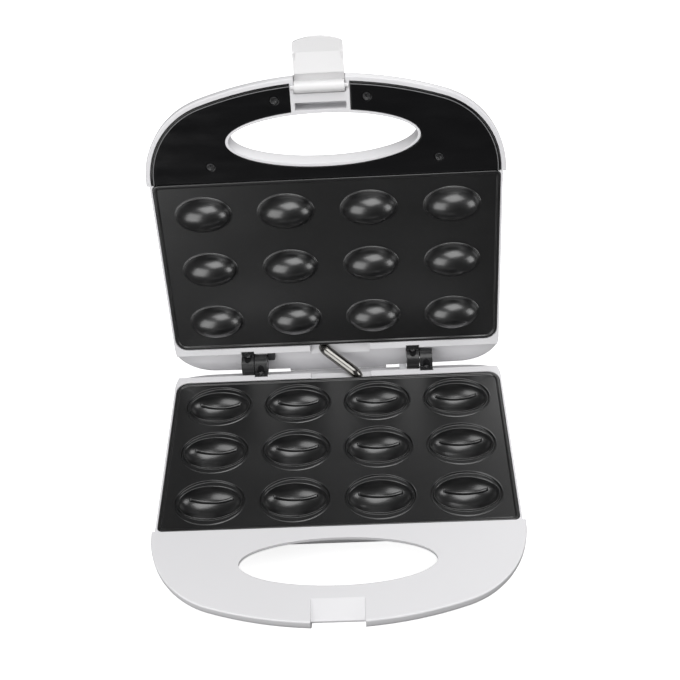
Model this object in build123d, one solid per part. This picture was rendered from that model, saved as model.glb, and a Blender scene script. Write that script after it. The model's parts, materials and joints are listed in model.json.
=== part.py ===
from build123d import *
import math
import os

# Walnut cookie maker, in millimetres. X runs to the right, Y to the back and Z up.
# It is drawn with the lid closed, the origin at the middle of the lower plate's cooking
# face. Base and lid are mirror forms: each is drawn hanging below its own rim plane.
# Lid and latch are then turned open, and all of it is moved so that the origin lies
# on the worktop under the middle of the opened cooker.

# Cooking plates
plate_w = 220.0
plate_front_y = -62.4
plate_rear_y = 59.5
plate_front_r = 3.0
plate_rear_r = 8.0
plate_t = 2.5
lip_w = 2.0
lip_h = 0.8
cup_columns = 4
cup_rows = 3
side_land = 7.2
front_land = 3.4
column_pitch = (plate_w - side_land) / cup_columns
row_pitch = (plate_rear_y - plate_front_y - front_land) / cup_rows
rows_offset_y = (plate_front_y + plate_rear_y) / 2
cup_len = 41.0
cup_w = 27.0
cup_wall = 2.2
moat_len = 45.5
moat_w = 34.5
moat_depth = 1.0
seam_w = 1.4
seam_len = 26.0
dome_len = 35.0
dome_w = 22.6
dome_step = 2.4
dome_step_h = 0.7
post_r = 4.0
post_len = 17.5
post_offset = 5.5

# Base and lid shells
parting_z = 2.0
rim_gap = 1.0
wall = 2.6
body_half_w = plate_w / 2 + 1.5
body_joint_y = plate_front_y - 0.1
brow_len = 34.0
deck_half_w = body_half_w + 2.0
deck_front_y = -128.0
deck_front_r = 240.0
deck_corner_r = 55.0
deck_edge_r = 10.5
deck_top_r = 1.0
deck_depth = 14.0
handle_depth = 15.0
rear_corner_r = 26.0
rear_bow = 2.0
slope_front_y = 64.5
slope_start = 1.6
pad_half_w = 34.0
pad_proud = 2.5
base_form = {
    "depth": 36.0,
    "front_y": -64.5,
    "front_r": 29.5,
    "edge_r": 14.0,
    "rear_y": 82.0,
    "slope_end": 16.2,
    "deck_depth": deck_depth,
}
lid_form = {
    "depth": 39.0,
    "front_y": -64.8,
    "front_r": 25.0,
    "edge_r": 19.0,
    "rear_y": 85.2,
    "slope_end": 12.0,
    "deck_depth": handle_depth,
}
flange_w = 3.4
flange_t = 2.5
rib_t = 1.8
skirt_lip = 11.5
rib_outer = (deck_half_w - 45.5, deck_half_w - 23.5)

# Oval finger opening through deck and handle
oval_y = -87.4
lid_oval_y = -88.9
oval_a = 58.7
oval_b = 16.4
tube_wall = 1.7
rib_inner = (oval_a - 26.7, oval_a - 8.7)

# Hinges
hinge_y = 73.06
hinge_x = 57.0
open_angle = 104.44
knuckle_r = 6.75
knuckle_w = 8.4
knuckle_gap = 0.6
knuckle_clear = 0.45
pin_r = 2.0
pin_clear = 0.05
leaf_t = 3.5
leaf_front_y = 63.0
leaf_screw_y = 65.7
leaf_boss_t = 7.0

# Latch, its pin and the ledge that it catches
latch_y = -121.6
latch_z = 3.6
latch_r = 3.6
latch_w = 30.5
latch_face_y = -128.0
latch_reach = 29.0
latch_t = 2.2
latch_flat = 9.3
latch_rib = 1.4
latch_rib_h = 1.0
latch_hook = 2.6
latch_crown = 3.2
latch_pin_r = 1.5
latch_clear = 0.4
pocket_wall = 2.4
pocket_rear_y = -105.2
notch_rear_y = -112.0
ledge_y = -125.4
ledge_t = 1.8
notch_drop = 2.4
window_depth = 11.0
window_len = 4.6

# Inner cover of the handle
cover_t = 2.0
cover_inset = 3.3
cover_sunk = 0.2
cover_screws = ((28.1, -114.2), (71.4, -73.6))
cover_boss_r = 4.0

# Small screws
screw_r = 1.4
head_r = 2.4
head_t = 1.6
head_edge_r = 0.5
slot_half = 0.3
head_room = 0.2

# Heaters and heat shields
heater_r = 3.2
heater_bend = 9.0
heater_end_x = plate_w / 2 - 11.0
heater_tip_r = 1.5
heater_tip_len = 5.0
shield_t = 0.6
shield_half_w = plate_w / 2 - 10.0
shield_half_d = 54.0
shield_rim = 6.0
thermostat_r = 8.0
thermostat_h = 6.5
blade_x = 4.0
blade_w = 3.0
blade_t = 0.8
blade_len = 4.0
fuse_r = 2.0
fuse_len = 11.0

# Underside of the base
cover_half_w = 70.0
cover_half_d = 42.0
cover_y = 14.0
cover_plate_t = 2.0
cover_frame = 8.0
vent_len = 22.0
vent_w = 3.0
vent_pitch = 9.0
vent_count = 9
foot_r = 8.0
foot_drop = 5.0
foot_socket = 2.0
foot_x = body_half_w - 27.5
foot_front_y = -25.0
foot_rear_y = 57.0
terminal_size = (34.0, 14.0, 9.0)
terminal_x = 38.0
terminal_y = 38.0

# Mains inlet in the rear wall
gland_x = -62.0
gland_z = -22.5
gland_bore_r = 3.4
gland_r = 4.6
gland_flange_r = 6.0
gland_flange_t = 2.4
gland_boss_r = 6.6

# Conduit between base and lid: its two inner ends and its two bends
conduit_r = 2.9
conduit_bend = 6.5
conduit_lid_x = -9.0
conduit_base_x = 14.2
conduit_y = 62.9
conduit_depth = 22.0
conduit_sink = 2.2
conduit_lean = 3.0
conduit_side = 9.0
conduit_notch_y = 68.6

# Pilot lamps in the lid's top
lamp_x = 13.0
lamp_y = -31.0
lamp_r = 4.0
lamp_proud = 1.2
lamp_holder_size = (44.0, 12.0, 7.0)

# Plate clips beside the hinges
clip_x = 45.4
clip_w = 5.0
clip_len = 8.5
clip_t = 2.4
ledge_bar = (36.0, 56.6)
ledge_bar_w = 2.6

# Clearance between parts that are fitted but don't run on each other
fit = 0.3

# Levels that follow from the sizes above
base_top_z = parting_z - rim_gap
lid_rim_z = parting_z + rim_gap
axis_level = rim_gap
plate_seat = rim_gap + plate_t
lower_face = -rim_gap


def box(x0, x1, y0, y1, z0, z1):
    """A box between two corners."""
    middle = Pos((x0 + x1) / 2, (y0 + y1) / 2, (z0 + z1) / 2)
    return middle * Box(abs(x1 - x0), abs(y1 - y0), abs(z1 - z0))


def rod(radius, x0, x1, y, z):
    """A round bar along X."""
    return Pos((x0 + x1) / 2, y, z) * Rot(0, 90, 0) * Cylinder(radius, x1 - x0)


def post(radius, x, y, z0, z1):
    """A round bar along Z."""
    return Pos(x, y, (z0 + z1) / 2) * Cylinder(radius, abs(z1 - z0))


def side_profile(points, x0, x1):
    """Extrudes a closed outline of (y, z) points along X."""
    face = make_face(Polyline(*points, close=True))
    return extrude(Plane.YZ.offset(x0) * face, x1 - x0)


def oval(y, a, b, z0, z1):
    """An upright oval column in the middle of a finger opening."""
    return extrude(Pos(0, y, z0) * Ellipse(a, b), z1 - z0)


def slab(half_x, y0, y1, radius, z0, z1):
    """A flat block with rounded upright corners."""
    plan = Pos(0, (y0 + y1) / 2, z0) * RectangleRounded(2 * half_x, y1 - y0, radius)
    return extrude(plan, z1 - z0)


def spheroid(a, b):
    """A long round body: half length a along X, radius b."""
    return scale(Sphere(b), by=(a / b, 1, 1))


def screw(x, y, seat, length):
    """A small pan-head screw driven downwards, its head above the seat."""
    head = fillet(post(head_r, x, y, seat, seat + head_t).edges().sort_by(Axis.Z)[-1], head_edge_r)
    low = seat + head_t / 2
    high = seat + 2 * head_t
    half = head_r / 2
    cross = box(x - half, x + half, y - slot_half, y + slot_half, low, high)
    slot = box(x - slot_half, x + slot_half, y - half, y + half, low, high)
    return head + post(screw_r, x, y, seat - length, seat) - cross - slot


def cup_places():
    """Centres of the cups and domes, seen from above."""
    places = []
    for column in range(cup_columns):
        for row in range(cup_rows):
            x = (column - (cup_columns - 1) / 2) * column_pitch
            y = (row - (cup_rows - 1) / 2) * row_pitch + rows_offset_y
            places.append((x, y))
    return places


def post_places():
    """Centres of the posts that hold plate and heat shield together."""
    reach = (cup_rows - 1) / 2 * row_pitch + post_offset
    return [(sx * column_pitch, sy * reach + rows_offset_y) for sx in (-1, 1) for sy in (-1, 1)]


def mirrored(point):
    """The same plan point on the other side of the middle."""
    return Vector(-point.X, point.Y)


def deck_plan(inset, back_y):
    """The D-shaped plan of deck and handle, a given distance inside its rim."""
    centre_y = deck_front_y + deck_front_r
    corner_x = deck_half_w - deck_corner_r
    reach = deck_front_r - deck_corner_r
    corner = Vector(corner_x, centre_y - math.sqrt(reach**2 - corner_x**2))
    lean = (corner - Vector(0, centre_y)).normalized()
    radius = deck_corner_r - inset
    side = corner + Vector(1, 0) * radius
    bend = corner + (lean + Vector(1, 0)).normalized() * radius
    join = corner + lean * radius
    nose = Vector(0, deck_front_y + inset)
    edges = [
        ThreePointArc(side, bend, join),
        ThreePointArc(join, nose, mirrored(join)),
        ThreePointArc(mirrored(join), mirrored(bend), mirrored(side)),
        Polyline(mirrored(side), (-side.X, back_y), (side.X, back_y), side),
    ]
    return make_face(Curve() + edges)


def deck_slab(inset, depth, edge_r):
    """A D-shaped slab below z = 0, its lower rim rounded."""
    form = extrude(deck_plan(inset, body_joint_y), -depth)
    low = form.edges().group_by(Axis.Z)[0]
    return fillet([edge for edge in low if edge.center().Y < body_joint_y - fit], edge_r)


def soft_top(form):
    """Breaks the upper edge of a D-shaped slab."""
    top = form.edges().group_by(Axis.Z)[-1]
    return fillet([edge for edge in top if edge.center().Y < body_joint_y - fit], deck_top_r)


def brow(depth):
    """The full-width block that joins the deck to the rounded body behind it."""
    block = box(-body_half_w, body_half_w, body_joint_y, body_joint_y + brow_len, -depth, 0)
    low = block.edges().filter_by(Axis.Y).group_by(Axis.Z)[0]
    return fillet(low, deck_edge_r)


def tub(form, inset, above):
    """The deep body below z = 0: upright walls that round into a flat bottom."""
    x = body_half_w - inset
    front = form["front_y"] + inset
    rear = form["rear_y"] - inset
    side_rear = rear - rear_bow
    edges = [
        Polyline((-x, side_rear), (-x, front), (x, front), (x, side_rear)),
        ThreePointArc((x, side_rear), (0, rear), (-x, side_rear)),
    ]
    plan = make_face(Curve() + edges)
    rear_corners = plan.vertices().group_by(Axis.Y)[-1]
    plan = fillet(rear_corners, rear_corner_r - inset)
    body = extrude(Pos(0, 0, above) * plan, -(form["depth"] - inset + above))
    nose = body.edges().filter_by(Axis.X).group_by(Axis.Z)[0].sort_by(Axis.Y)[0]
    body = fillet(nose, form["front_r"] - inset)
    bottom = body.faces().sort_by(Axis.Z)[0]
    front_edge = bottom.edges().sort_by(Axis.Y)[0]
    rim = [edge for edge in bottom.edges() if edge.center().Y > front_edge.center().Y + 0.2]
    return fillet(rim, form["edge_r"] - inset)


def undercut(form, inset):
    """The space left free behind the plate, over the sloping rear wall."""
    run = form["rear_y"] - slope_front_y
    fall = form["slope_end"] - slope_start
    length = math.hypot(run, fall)
    grade = fall / run
    foot_y = slope_front_y - inset * fall / length
    foot_z = -slope_start - inset * run / length
    start_y = slope_front_y - inset
    end_y = form["rear_y"] + rear_corner_r
    start_z = foot_z + grade * (foot_y - start_y)
    end_z = foot_z - grade * (end_y - foot_y)
    above = plate_seat + wall
    points = [(start_y, above), (start_y, start_z), (end_y, end_z), (end_y, above)]
    return side_profile(points, -deck_half_w, deck_half_w)


def rear_pad(form):
    """The middle of the rear wall stands proud: the open lid rests here."""
    y = form["rear_y"] + pad_proud
    low = -form["depth"] + form["edge_r"] - pad_proud
    pad = box(-pad_half_w, pad_half_w, form["rear_y"] - rear_corner_r / 2, y, low, 0)
    return fillet(pad.edges().filter_by(Axis.X).group_by(Axis.Z)[0].sort_by(Axis.Y)[-1], 2)


def shell_outside(form):
    """The whole outer form of base or lid, hanging below its rim plane."""
    outside = soft_top(deck_slab(0, form["deck_depth"], deck_edge_r)) + brow(form["deck_depth"])
    outside += tub(form, 0, 0) + rear_pad(form)
    return outside - undercut(form, 0)


def shell_room(form):
    """The room inside the deep body, below the flange that carries the plate."""
    room = tub(form, wall, wall) - undercut(form, wall)
    ceiling = plate_seat + flange_t
    return room - box(-deck_half_w, deck_half_w, deck_front_y, form["rear_y"], -ceiling, 2 * wall)


def plate_slab(inset, z0, z1):
    """A block of the plate's plan, a given distance inside its edge."""
    x = plate_w / 2 - inset
    y0 = plate_front_y + inset
    y1 = plate_rear_y - inset
    plan = make_face(Polyline((-x, y0), (x, y0), (x, y1), (-x, y1), close=True))
    plan = fillet(plan.vertices().group_by(Axis.Y)[0], max(plate_front_r - inset, tube_wall))
    plan = fillet(plan.vertices().group_by(Axis.Y)[-1], max(plate_rear_r - inset, tube_wall))
    return extrude(Pos(0, 0, z0) * plan, z1 - z0)


def plate_opening():
    """The opening for a plate: a seat all round, then a smaller hole through."""
    low = -plate_seat - flange_t - fit
    return plate_slab(-fit, -plate_seat, wall) + plate_slab(flange_w, low, 0)


def conduit_notch():
    """The rim is left out behind the plate where the conduit passes."""
    x0 = conduit_lid_x - conduit_side
    x1 = conduit_base_x + conduit_side
    return box(x0, x1, plate_rear_y, conduit_notch_y, -plate_seat, wall)


def leaf_span(centre, side):
    """Where a hinge leaf starts and ends along X."""
    near = centre + side * knuckle_gap / 2
    far = near + side * knuckle_w
    return min(near, far), max(near, far)


def hinge_seats(outside, side):
    """Thicker walls behind the two leaves of one shell."""
    seats = []
    for centre in (-hinge_x, hinge_x):
        x0, x1 = leaf_span(centre, side)
        low = -leaf_t - leaf_boss_t
        block = box(x0 - wall, x1 + wall, slope_front_y - wall, hinge_y, low, -slope_start)
        seats.append(block & outside)
    return seats


def hinge_cuts(side):
    """Room for the leaves, their screws and both turning knuckles."""
    cuts = []
    for centre in (-hinge_x, hinge_x):
        x0, x1 = leaf_span(centre, side)
        cuts.append(box(x0 - fit, x1 + fit, leaf_front_y - fit, hinge_y, -leaf_t, wall))
        half = knuckle_w + knuckle_gap
        radius = knuckle_r + knuckle_clear
        cuts.append(rod(radius, centre - half, centre + half, hinge_y, axis_level))
        cuts.append(post(screw_r, (x0 + x1) / 2, leaf_screw_y, -leaf_t - leaf_boss_t + 1, 0))
    return cuts


def hinge_leaf(centre, side, bore_r):
    """A leaf: a flat arm under one screw and a knuckle round the hinge axis."""
    x0, x1 = leaf_span(centre, side)
    middle = (x0 + x1) / 2
    knuckle = rod(knuckle_r, x0, x1, hinge_y, axis_level)
    arm = box(x0, x1, leaf_front_y, hinge_y, -leaf_t, 0)
    arm = fillet(arm.edges().filter_by(Axis.Z).group_by(Axis.Y)[0], 1)
    leaf = arm + knuckle
    leaf -= post(head_r + head_room, middle, leaf_screw_y, -head_t - head_room, knuckle_r + 2)
    leaf -= post(screw_r, middle, leaf_screw_y, -leaf_t, 0)
    return leaf - rod(bore_r, x0 - 1, x1 + 1, hinge_y, axis_level)


def leaf_screw(centre, side):
    """The screw that holds a leaf."""
    x0, x1 = leaf_span(centre, side)
    return screw((x0 + x1) / 2, leaf_screw_y, -head_t - head_room, leaf_boss_t)


def ledge_and_clip(side):
    """A short bar behind the plate beside one hinge, and the clip in front of it."""
    x0, x1 = sorted((side * ledge_bar[0], side * ledge_bar[1]))
    y0 = plate_rear_y + fit
    bar = box(x0, x1, y0, y0 + ledge_bar_w, -plate_seat, 0)
    clip = box(-clip_w / 2, clip_w / 2, 0, clip_len, 0, clip_t)
    clip = fillet(clip.edges().filter_by(Axis.Z).group_by(Axis.Y)[-1], 1)
    return bar, Pos(side * clip_x, y0 + ledge_bar_w, -plate_seat) * clip


def base_housing():
    """White base: deck with finger opening and latch notch, skirt and body."""
    outside = shell_outside(base_form)
    body = tub(base_form, 0, 0)
    skirt_room = Pos(0, 0, -wall) * deck_slab(wall, deck_depth - 2 * wall, deck_edge_r - wall)
    mouth = extrude(Pos(0, 0, wall - deck_depth) * deck_plan(skirt_lip, body_joint_y), -2 * wall)
    housing = outside - (skirt_room + mouth - body)
    housing -= oval(oval_y, oval_a, oval_b, -2 * wall, wall) - body
    housing += deck_ribs() & outside
    housing += notch_cheeks() & outside
    for cut in notch_cuts():
        housing -= cut
    housing -= shell_room(base_form)
    housing -= plate_opening() + conduit_notch()
    housing += cover_frame_ring()
    bar, clip = ledge_and_clip(1)
    housing += hinge_seats(outside, 1)
    housing += bar
    housing += Pos(gland_x, 0, gland_z - base_top_z) * gland_boss()
    housing -= clip
    for cut in hinge_cuts(1) + base_floor_cuts():
        housing -= cut
    return housing


def gland_boss():
    """A round boss on the rear wall with a stepped hole for the gland."""
    y = base_form["rear_y"]
    boss = Rot(90, 0, 0) * Cylinder(gland_boss_r, 2 * wall + 2)
    hole = Rot(90, 0, 0) * Cylinder(gland_r, 8 * wall)
    return Pos(0, y - wall, 0) * (boss - hole)


def gland_hole():
    """The hole that the gland's neck sits in."""
    drill = Rot(90, 0, 0) * Cylinder(gland_r, 8 * wall)
    return Pos(gland_x, base_form["rear_y"] - wall, gland_z - base_top_z) * drill


def cord_gland():
    """The mains inlet: a flange outside, a neck through the wall and a collar inside."""
    y = base_form["rear_y"] + 1
    depth = 2 * wall + 2
    neck = Pos(0, y - depth / 2, 0) * Rot(90, 0, 0) * Cylinder(gland_r, depth)
    flange = Pos(0, y + gland_flange_t / 2, 0) * Rot(90, 0, 0)
    flange *= Cylinder(gland_flange_r, gland_flange_t)
    flange = fillet(flange.edges().group_by(Axis.Y)[-1], 0.8)
    collar = Pos(0, y - depth - 1, 0) * Rot(90, 0, 0) * Cylinder(gland_flange_r, 2)
    bore = Pos(0, y - depth / 2, 0) * Rot(90, 0, 0) * Cylinder(gland_bore_r, 3 * depth)
    return Pos(gland_x, 0, gland_z - base_top_z) * (neck + flange + collar - bore)


def deck_ribs():
    """Thin ribs under the deck, clear of the finger opening and the notch."""
    ribs = []
    y1 = base_form["front_y"] + wall
    for x in rib_outer:
        for sign in (-1, 1):
            ribs.append(box(sign * x, sign * x + rib_t, deck_front_y, y1, -deck_depth / 2, -wall))
    for x in rib_inner:
        for sign in (-1, 1):
            y_in = oval_y - oval_b - rib_t
            ribs.append(box(sign * x, sign * x + rib_t, deck_front_y, y_in, -deck_depth / 2, -wall))
    return Part() + ribs


def notch_half():
    """Half the width of the notch that takes the latch."""
    return latch_w / 2 + latch_clear


def notch_cheeks():
    """Walls that close the cut ends of the skirt beside the notch, and the ledge."""
    half = notch_half()
    parts = [box(-half - wall, half + wall, ledge_y, pocket_rear_y, -ledge_t - notch_drop, -wall / 2)]
    for sign in (-1, 1):
        x0, x1 = sorted((sign * half, sign * (half + rib_t)))
        parts.append(box(x0, x1, deck_front_y, notch_rear_y - 2, -deck_depth, -wall))
    return Part() + parts


def notch_cuts():
    """The ramp in the deck's front, and the gap in the skirt below its ledge."""
    half = notch_half()
    end_y = 2 * ledge_y - notch_rear_y
    ramp = [(notch_rear_y, wall), (notch_rear_y, 0), (end_y, -2 * notch_drop), (end_y, wall)]
    low = -deck_depth - wall
    lip = -notch_drop - ledge_t
    return [
        side_profile(ramp, -half, half),
        box(-half, half, deck_front_y - 2, ledge_y, low, 2),
        box(-half, half, deck_front_y - 2, notch_rear_y - 4, low, lip),
    ]


def cover_frame_ring():
    """The frame inside the floor that the bottom cover is screwed to."""
    low = -base_form["depth"] + cover_plate_t
    top = low + wall
    x = cover_half_w + wall
    y0 = cover_y - cover_half_d - wall
    y1 = cover_y + cover_half_d + wall
    ring = slab(x, y0, y1, 6, low - 1, top)
    hole_x = cover_half_w - cover_frame
    hole = slab(hole_x, y0 + cover_frame + wall, y1 - cover_frame - wall, 4, low - 2, top + 1)
    return ring - hole


def cover_screw_places():
    """Centres of the bottom cover's screws."""
    x = cover_half_w - cover_frame / 2
    y = cover_half_d - cover_frame / 2
    return [(sx * x, cover_y + sy * y) for sx in (-1, 1) for sy in (-1, 1)]


def foot_places():
    """Centres of the four feet, by name."""
    return {
        "front_left": (-foot_x, foot_front_y),
        "front_right": (foot_x, foot_front_y),
        "rear_left": (-foot_x, foot_rear_y),
        "rear_right": (foot_x, foot_rear_y),
    }


def base_floor_cuts():
    """Recess and opening for the bottom cover, its screw holes and the foot sockets."""
    floor = -base_form["depth"]
    y0 = cover_y - cover_half_d
    y1 = cover_y + cover_half_d
    cuts = [slab(cover_half_w + fit, y0 - fit, y1 + fit, 5, floor - 1, floor + cover_plate_t)]
    hole_x = cover_half_w - cover_frame
    cuts.append(slab(hole_x, y0 + cover_frame, y1 - cover_frame, 4, floor - 1, floor + 3 * wall))
    for x, y in cover_screw_places():
        cuts.append(post(screw_r, x, y, floor, floor + 3 * wall))
    for x, y in foot_places().values():
        cuts.append(post(foot_r + fit / 2, x, y, floor - 1, floor + foot_socket))
    cuts.append(gland_hole())
    return cuts


def bottom_cover():
    """Flat cover under the base with a field of vent slots."""
    floor = -base_form["depth"]
    y0 = cover_y - cover_half_d
    y1 = cover_y + cover_half_d
    cover = slab(cover_half_w, y0, y1, 5, floor, floor + cover_plate_t)
    for index in range(vent_count):
        x = (index - (vent_count - 1) / 2) * vent_pitch
        slot = Pos(x, cover_y, floor) * SlotOverall(vent_len, vent_w, rotation=90)
        cover -= extrude(slot, cover_plate_t)
    for x, y in cover_screw_places():
        cover -= post(screw_r, x, y, floor, floor + cover_plate_t)
    return cover


def bottom_cover_screws():
    """Screws driven upwards through the bottom cover."""
    floor = -base_form["depth"]
    flip = mirror(screw(0, 0, 0, cover_plate_t + wall), Plane.XY)
    return [Pos(x, y, floor) * flip for x, y in cover_screw_places()]


def foot():
    """A rubber foot: its peg in the socket, its pad below."""
    floor = -base_form["depth"]
    body = post(foot_r, 0, 0, floor - foot_drop, floor + foot_socket)
    return fillet(body.edges().group_by(Axis.Z)[0], 1.5)


def latch_pocket(outside):
    """White walls round the latch, from the front rim to the finger opening."""
    half = notch_half() + pocket_wall
    low = -handle_depth + wall
    return box(-half, half, deck_front_y, pocket_rear_y, low, 0) & outside


def latch_cuts():
    """Room for barrel and tongue at the front, and the window behind them."""
    half = notch_half()
    rear = latch_y + latch_r + fit
    roof = lid_rim_z - latch_z + latch_face_y - latch_y - latch_clear
    window_y = notch_rear_y
    return [
        box(-half, half, deck_front_y - 2, rear, roof, 2),
        box(-half, half, window_y, window_y + window_len, -window_depth, 2),
        rod(latch_pin_r, -half - pocket_wall + 0.6, half + pocket_wall - 0.6, latch_y, lid_rim_z - latch_z),
    ]


def lid_housing():
    """White lid: handle with oval tube and latch pocket, and the domed body."""
    outside = shell_outside(lid_form)
    body = tub(lid_form, 0, 0)
    hollow_depth = handle_depth - wall
    seat = cover_sunk + cover_t
    room = deck_slab(wall, hollow_depth, deck_edge_r - wall)
    room -= box(-deck_half_w, deck_half_w, deck_front_y, body_joint_y, -seat - wall, 0)
    room += extrude(deck_plan(cover_inset + wall, body_joint_y), -seat - 2 * wall)
    housing = outside - (room - body)
    housing += oval(lid_oval_y, oval_a + tube_wall, oval_b + tube_wall, -hollow_depth - 1, 0)
    housing += latch_pocket(outside)
    for sign in (-1, 1):
        for x, y in cover_screws:
            housing += post(cover_boss_r, sign * x, y, -hollow_depth - 1, -seat)
    recess = extrude(deck_plan(cover_inset - fit, plate_front_y), -seat)
    housing -= recess - latch_pocket(outside) - oval_lip(tube_wall)
    housing -= oval(lid_oval_y, oval_a, oval_b, -handle_depth - 1, 1)
    for cut in latch_cuts():
        housing -= cut
    for sign in (-1, 1):
        for x, y in cover_screws:
            housing -= post(screw_r, sign * x, y, -seat - leaf_boss_t, -seat)
    housing -= shell_room(lid_form)
    housing -= plate_opening() + conduit_notch()
    housing += hinge_seats(outside, -1)
    bar, clip = ledge_and_clip(-1)
    housing += bar
    housing -= clip
    for cut in hinge_cuts(-1) + lamp_holes():
        housing -= cut
    return housing


def oval_lip(growth):
    """The tube round the finger opening, as a solid column."""
    return oval(lid_oval_y, oval_a + growth, oval_b + growth, -handle_depth, 1)


def handle_inner_cover():
    """Glossy cover in the handle, U-shaped round the latch pocket."""
    half = notch_half() + pocket_wall + fit
    face = extrude(deck_plan(cover_inset, plate_front_y - fit), -cover_t)
    face = chamfer(face.faces().sort_by(Axis.Z)[-1].edges(), 0.5)
    cover = Pos(0, 0, -cover_sunk) * face - oval_lip(tube_wall + fit)
    cover -= box(-half, half, deck_front_y - 1, pocket_rear_y + fit, -wall * 2, 1)
    for sign in (-1, 1):
        for x, y in cover_screws:
            cover -= post(screw_r, sign * x, y, -2 * wall, 0)
            cover -= post(head_r + head_room, sign * x, y, -cover_sunk - cover_t / 2, 1)
    return cover


def cover_screw_set():
    """Screws of the handle's inner cover."""
    seat = -cover_sunk - cover_t / 2
    return [screw(sign * x, y, seat, leaf_boss_t) for sign in (-1, 1) for x, y in cover_screws]


def lamp_holes():
    """Holes for the pilot lamps through the lid's top."""
    top = -lid_form["depth"]
    return [post(lamp_r, sign * lamp_x, lamp_y, top - 1, top + 2 * wall) for sign in (-1, 1)]


def lamp(sign):
    """A pilot lamp's lens, slightly domed above the lid."""
    top = -lid_form["depth"]
    lens = post(lamp_r, sign * lamp_x, lamp_y, top - lamp_proud, top + wall)
    return fillet(lens.edges().group_by(Axis.Z)[0], 0.8)


def lamp_holder():
    """The carrier under both lamps."""
    w, d, h = lamp_holder_size
    top = -lid_form["depth"] + wall
    return box(-w / 2, w / 2, lamp_y - d / 2, lamp_y + d / 2, top, top + h)


def plate_sheet():
    """The flat of a plate with its lip, seat side down, below the lip's top."""
    return plate_slab(0, -plate_t, lip_h) - plate_slab(lip_w, 0, lip_h)


def plate_posts():
    """Cast posts under a plate, each with a screw hole."""
    posts = []
    for x, y in post_places():
        stud = post(post_r, x, y, -plate_t - post_len, -plate_t)
        posts.append(stud - post(screw_r, x, y, -plate_t - post_len, -plate_t - post_len / 2))
    return posts


def lower_plate():
    """Cast plate with twelve walnut cups, each in a shallow moat."""
    a = cup_len / 2
    b = cup_w / 2
    above = box(-moat_len, moat_len, -moat_w, moat_w, -plate_t / 2, moat_w)
    shell = spheroid(a + cup_wall, b + cup_wall) - above
    moat = extrude(Ellipse(moat_len / 2, moat_w / 2), -moat_depth)
    moat -= extrude(Ellipse(a + 1, b + 1), -moat_depth)
    ridge_z = -b * math.sqrt(1 - (seam_len / cup_len) ** 2)
    ridge = box(-seam_len, seam_len, -seam_w / 2, seam_w / 2, -cup_w, ridge_z)
    hollow = spheroid(a, b) - ridge
    plate = plate_sheet()
    places = [Pos(x, y, 0) for x, y in cup_places()]
    plate += [place * shell for place in places]
    plate += plate_posts()
    return plate - [place * (hollow + moat) for place in places]


def upper_plate():
    """Cast plate with twelve domes, each on a thin step; hollow on its upper side."""
    a = dome_len / 2
    b = dome_w / 2
    low = box(-dome_len, dome_len, -dome_w, dome_w, -dome_w, 0)
    dome = spheroid(a, b) - low
    step = extrude(Ellipse(a + dome_step, b + dome_step), dome_step_h)
    hollow = spheroid(a - cup_wall, b - cup_wall)
    plate = plate_sheet()
    places = [Pos(x, y, 0) for x, y in cup_places()]
    plate += [place * (dome + step) for place in places]
    plate += plate_posts()
    return plate - [place * hollow for place in places]


def heater():
    """Tubular element under a plate: out between two rows, back between the others."""
    level = -plate_t - heater_r - 0.05
    y0 = rows_offset_y - row_pitch / 2
    y1 = rows_offset_y + row_pitch / 2
    x = -column_pitch
    points = [(heater_end_x, y0, level), (x, y0, level), (x, y1, level), (heater_end_x, y1, level)]
    path = FilletPolyline(*points, radius=heater_bend)
    tube = sweep(Plane(path @ 0, z_dir=path % 0) * Circle(heater_r), path=path)
    for y in (y0, y1):
        tube += rod(heater_tip_r, heater_end_x - 1, heater_end_x + heater_tip_len, y, level)
    return tube


def heat_shield():
    """Sheet tray under a plate, held by the plate's posts."""
    level = -plate_t - post_len
    y0 = rows_offset_y + 2.5 - shield_half_d
    y1 = rows_offset_y + 2.5 + shield_half_d
    tray = slab(shield_half_w, y0, y1, 8, level - shield_t, level + shield_rim)
    room = slab(
        shield_half_w - shield_t, y0 + shield_t, y1 - shield_t, 8 - shield_t, level, level + 2 * shield_rim
    )
    tray -= room
    for x, y in post_places():
        tray -= post(screw_r, x, y, level - 2 * shield_t, level)
    return tray


def shield_screws():
    """Screws through the heat shield into the plate's posts."""
    level = -plate_t - post_len - shield_t
    flip = mirror(screw(0, 0, 0, post_len / 2 - 1), Plane.XY)
    return [Pos(x, y, level) * flip for x, y in post_places()]


def thermostat():
    """Round bimetal thermostat with two blade terminals, under the heat shield."""
    level = -plate_t - post_len - shield_t
    y = rows_offset_y
    body = post(thermostat_r, 0, y, level - thermostat_h, level)
    for x in (-blade_x, blade_x):
        z1 = level - thermostat_h
        body += box(x - blade_w / 2, x + blade_w / 2, y - blade_t / 2, y + blade_t / 2, z1 - blade_len, z1)
    return body


def thermal_fuse():
    """Small thermal cut-out lying under the heat shield."""
    level = -plate_t - post_len - shield_t - fuse_r
    y = rows_offset_y + row_pitch / 2
    fuse = rod(fuse_r, -fuse_len / 2, fuse_len / 2, y, level)
    return fuse + rod(0.5, -fuse_len, fuse_len, y, level)


def terminal_block():
    """Screw terminals for the mains, on the bottom cover."""
    w, d, h = terminal_size
    floor = -base_form["depth"] + cover_plate_t
    block = box(-w / 2, w / 2, -d / 2, d / 2, floor, floor + h)
    for index in (-1, 0, 1):
        block -= post(2.2, index * w / 3.4, 0, floor + h / 2, floor + h)
    return Pos(terminal_x, terminal_y, 0) * block


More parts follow.
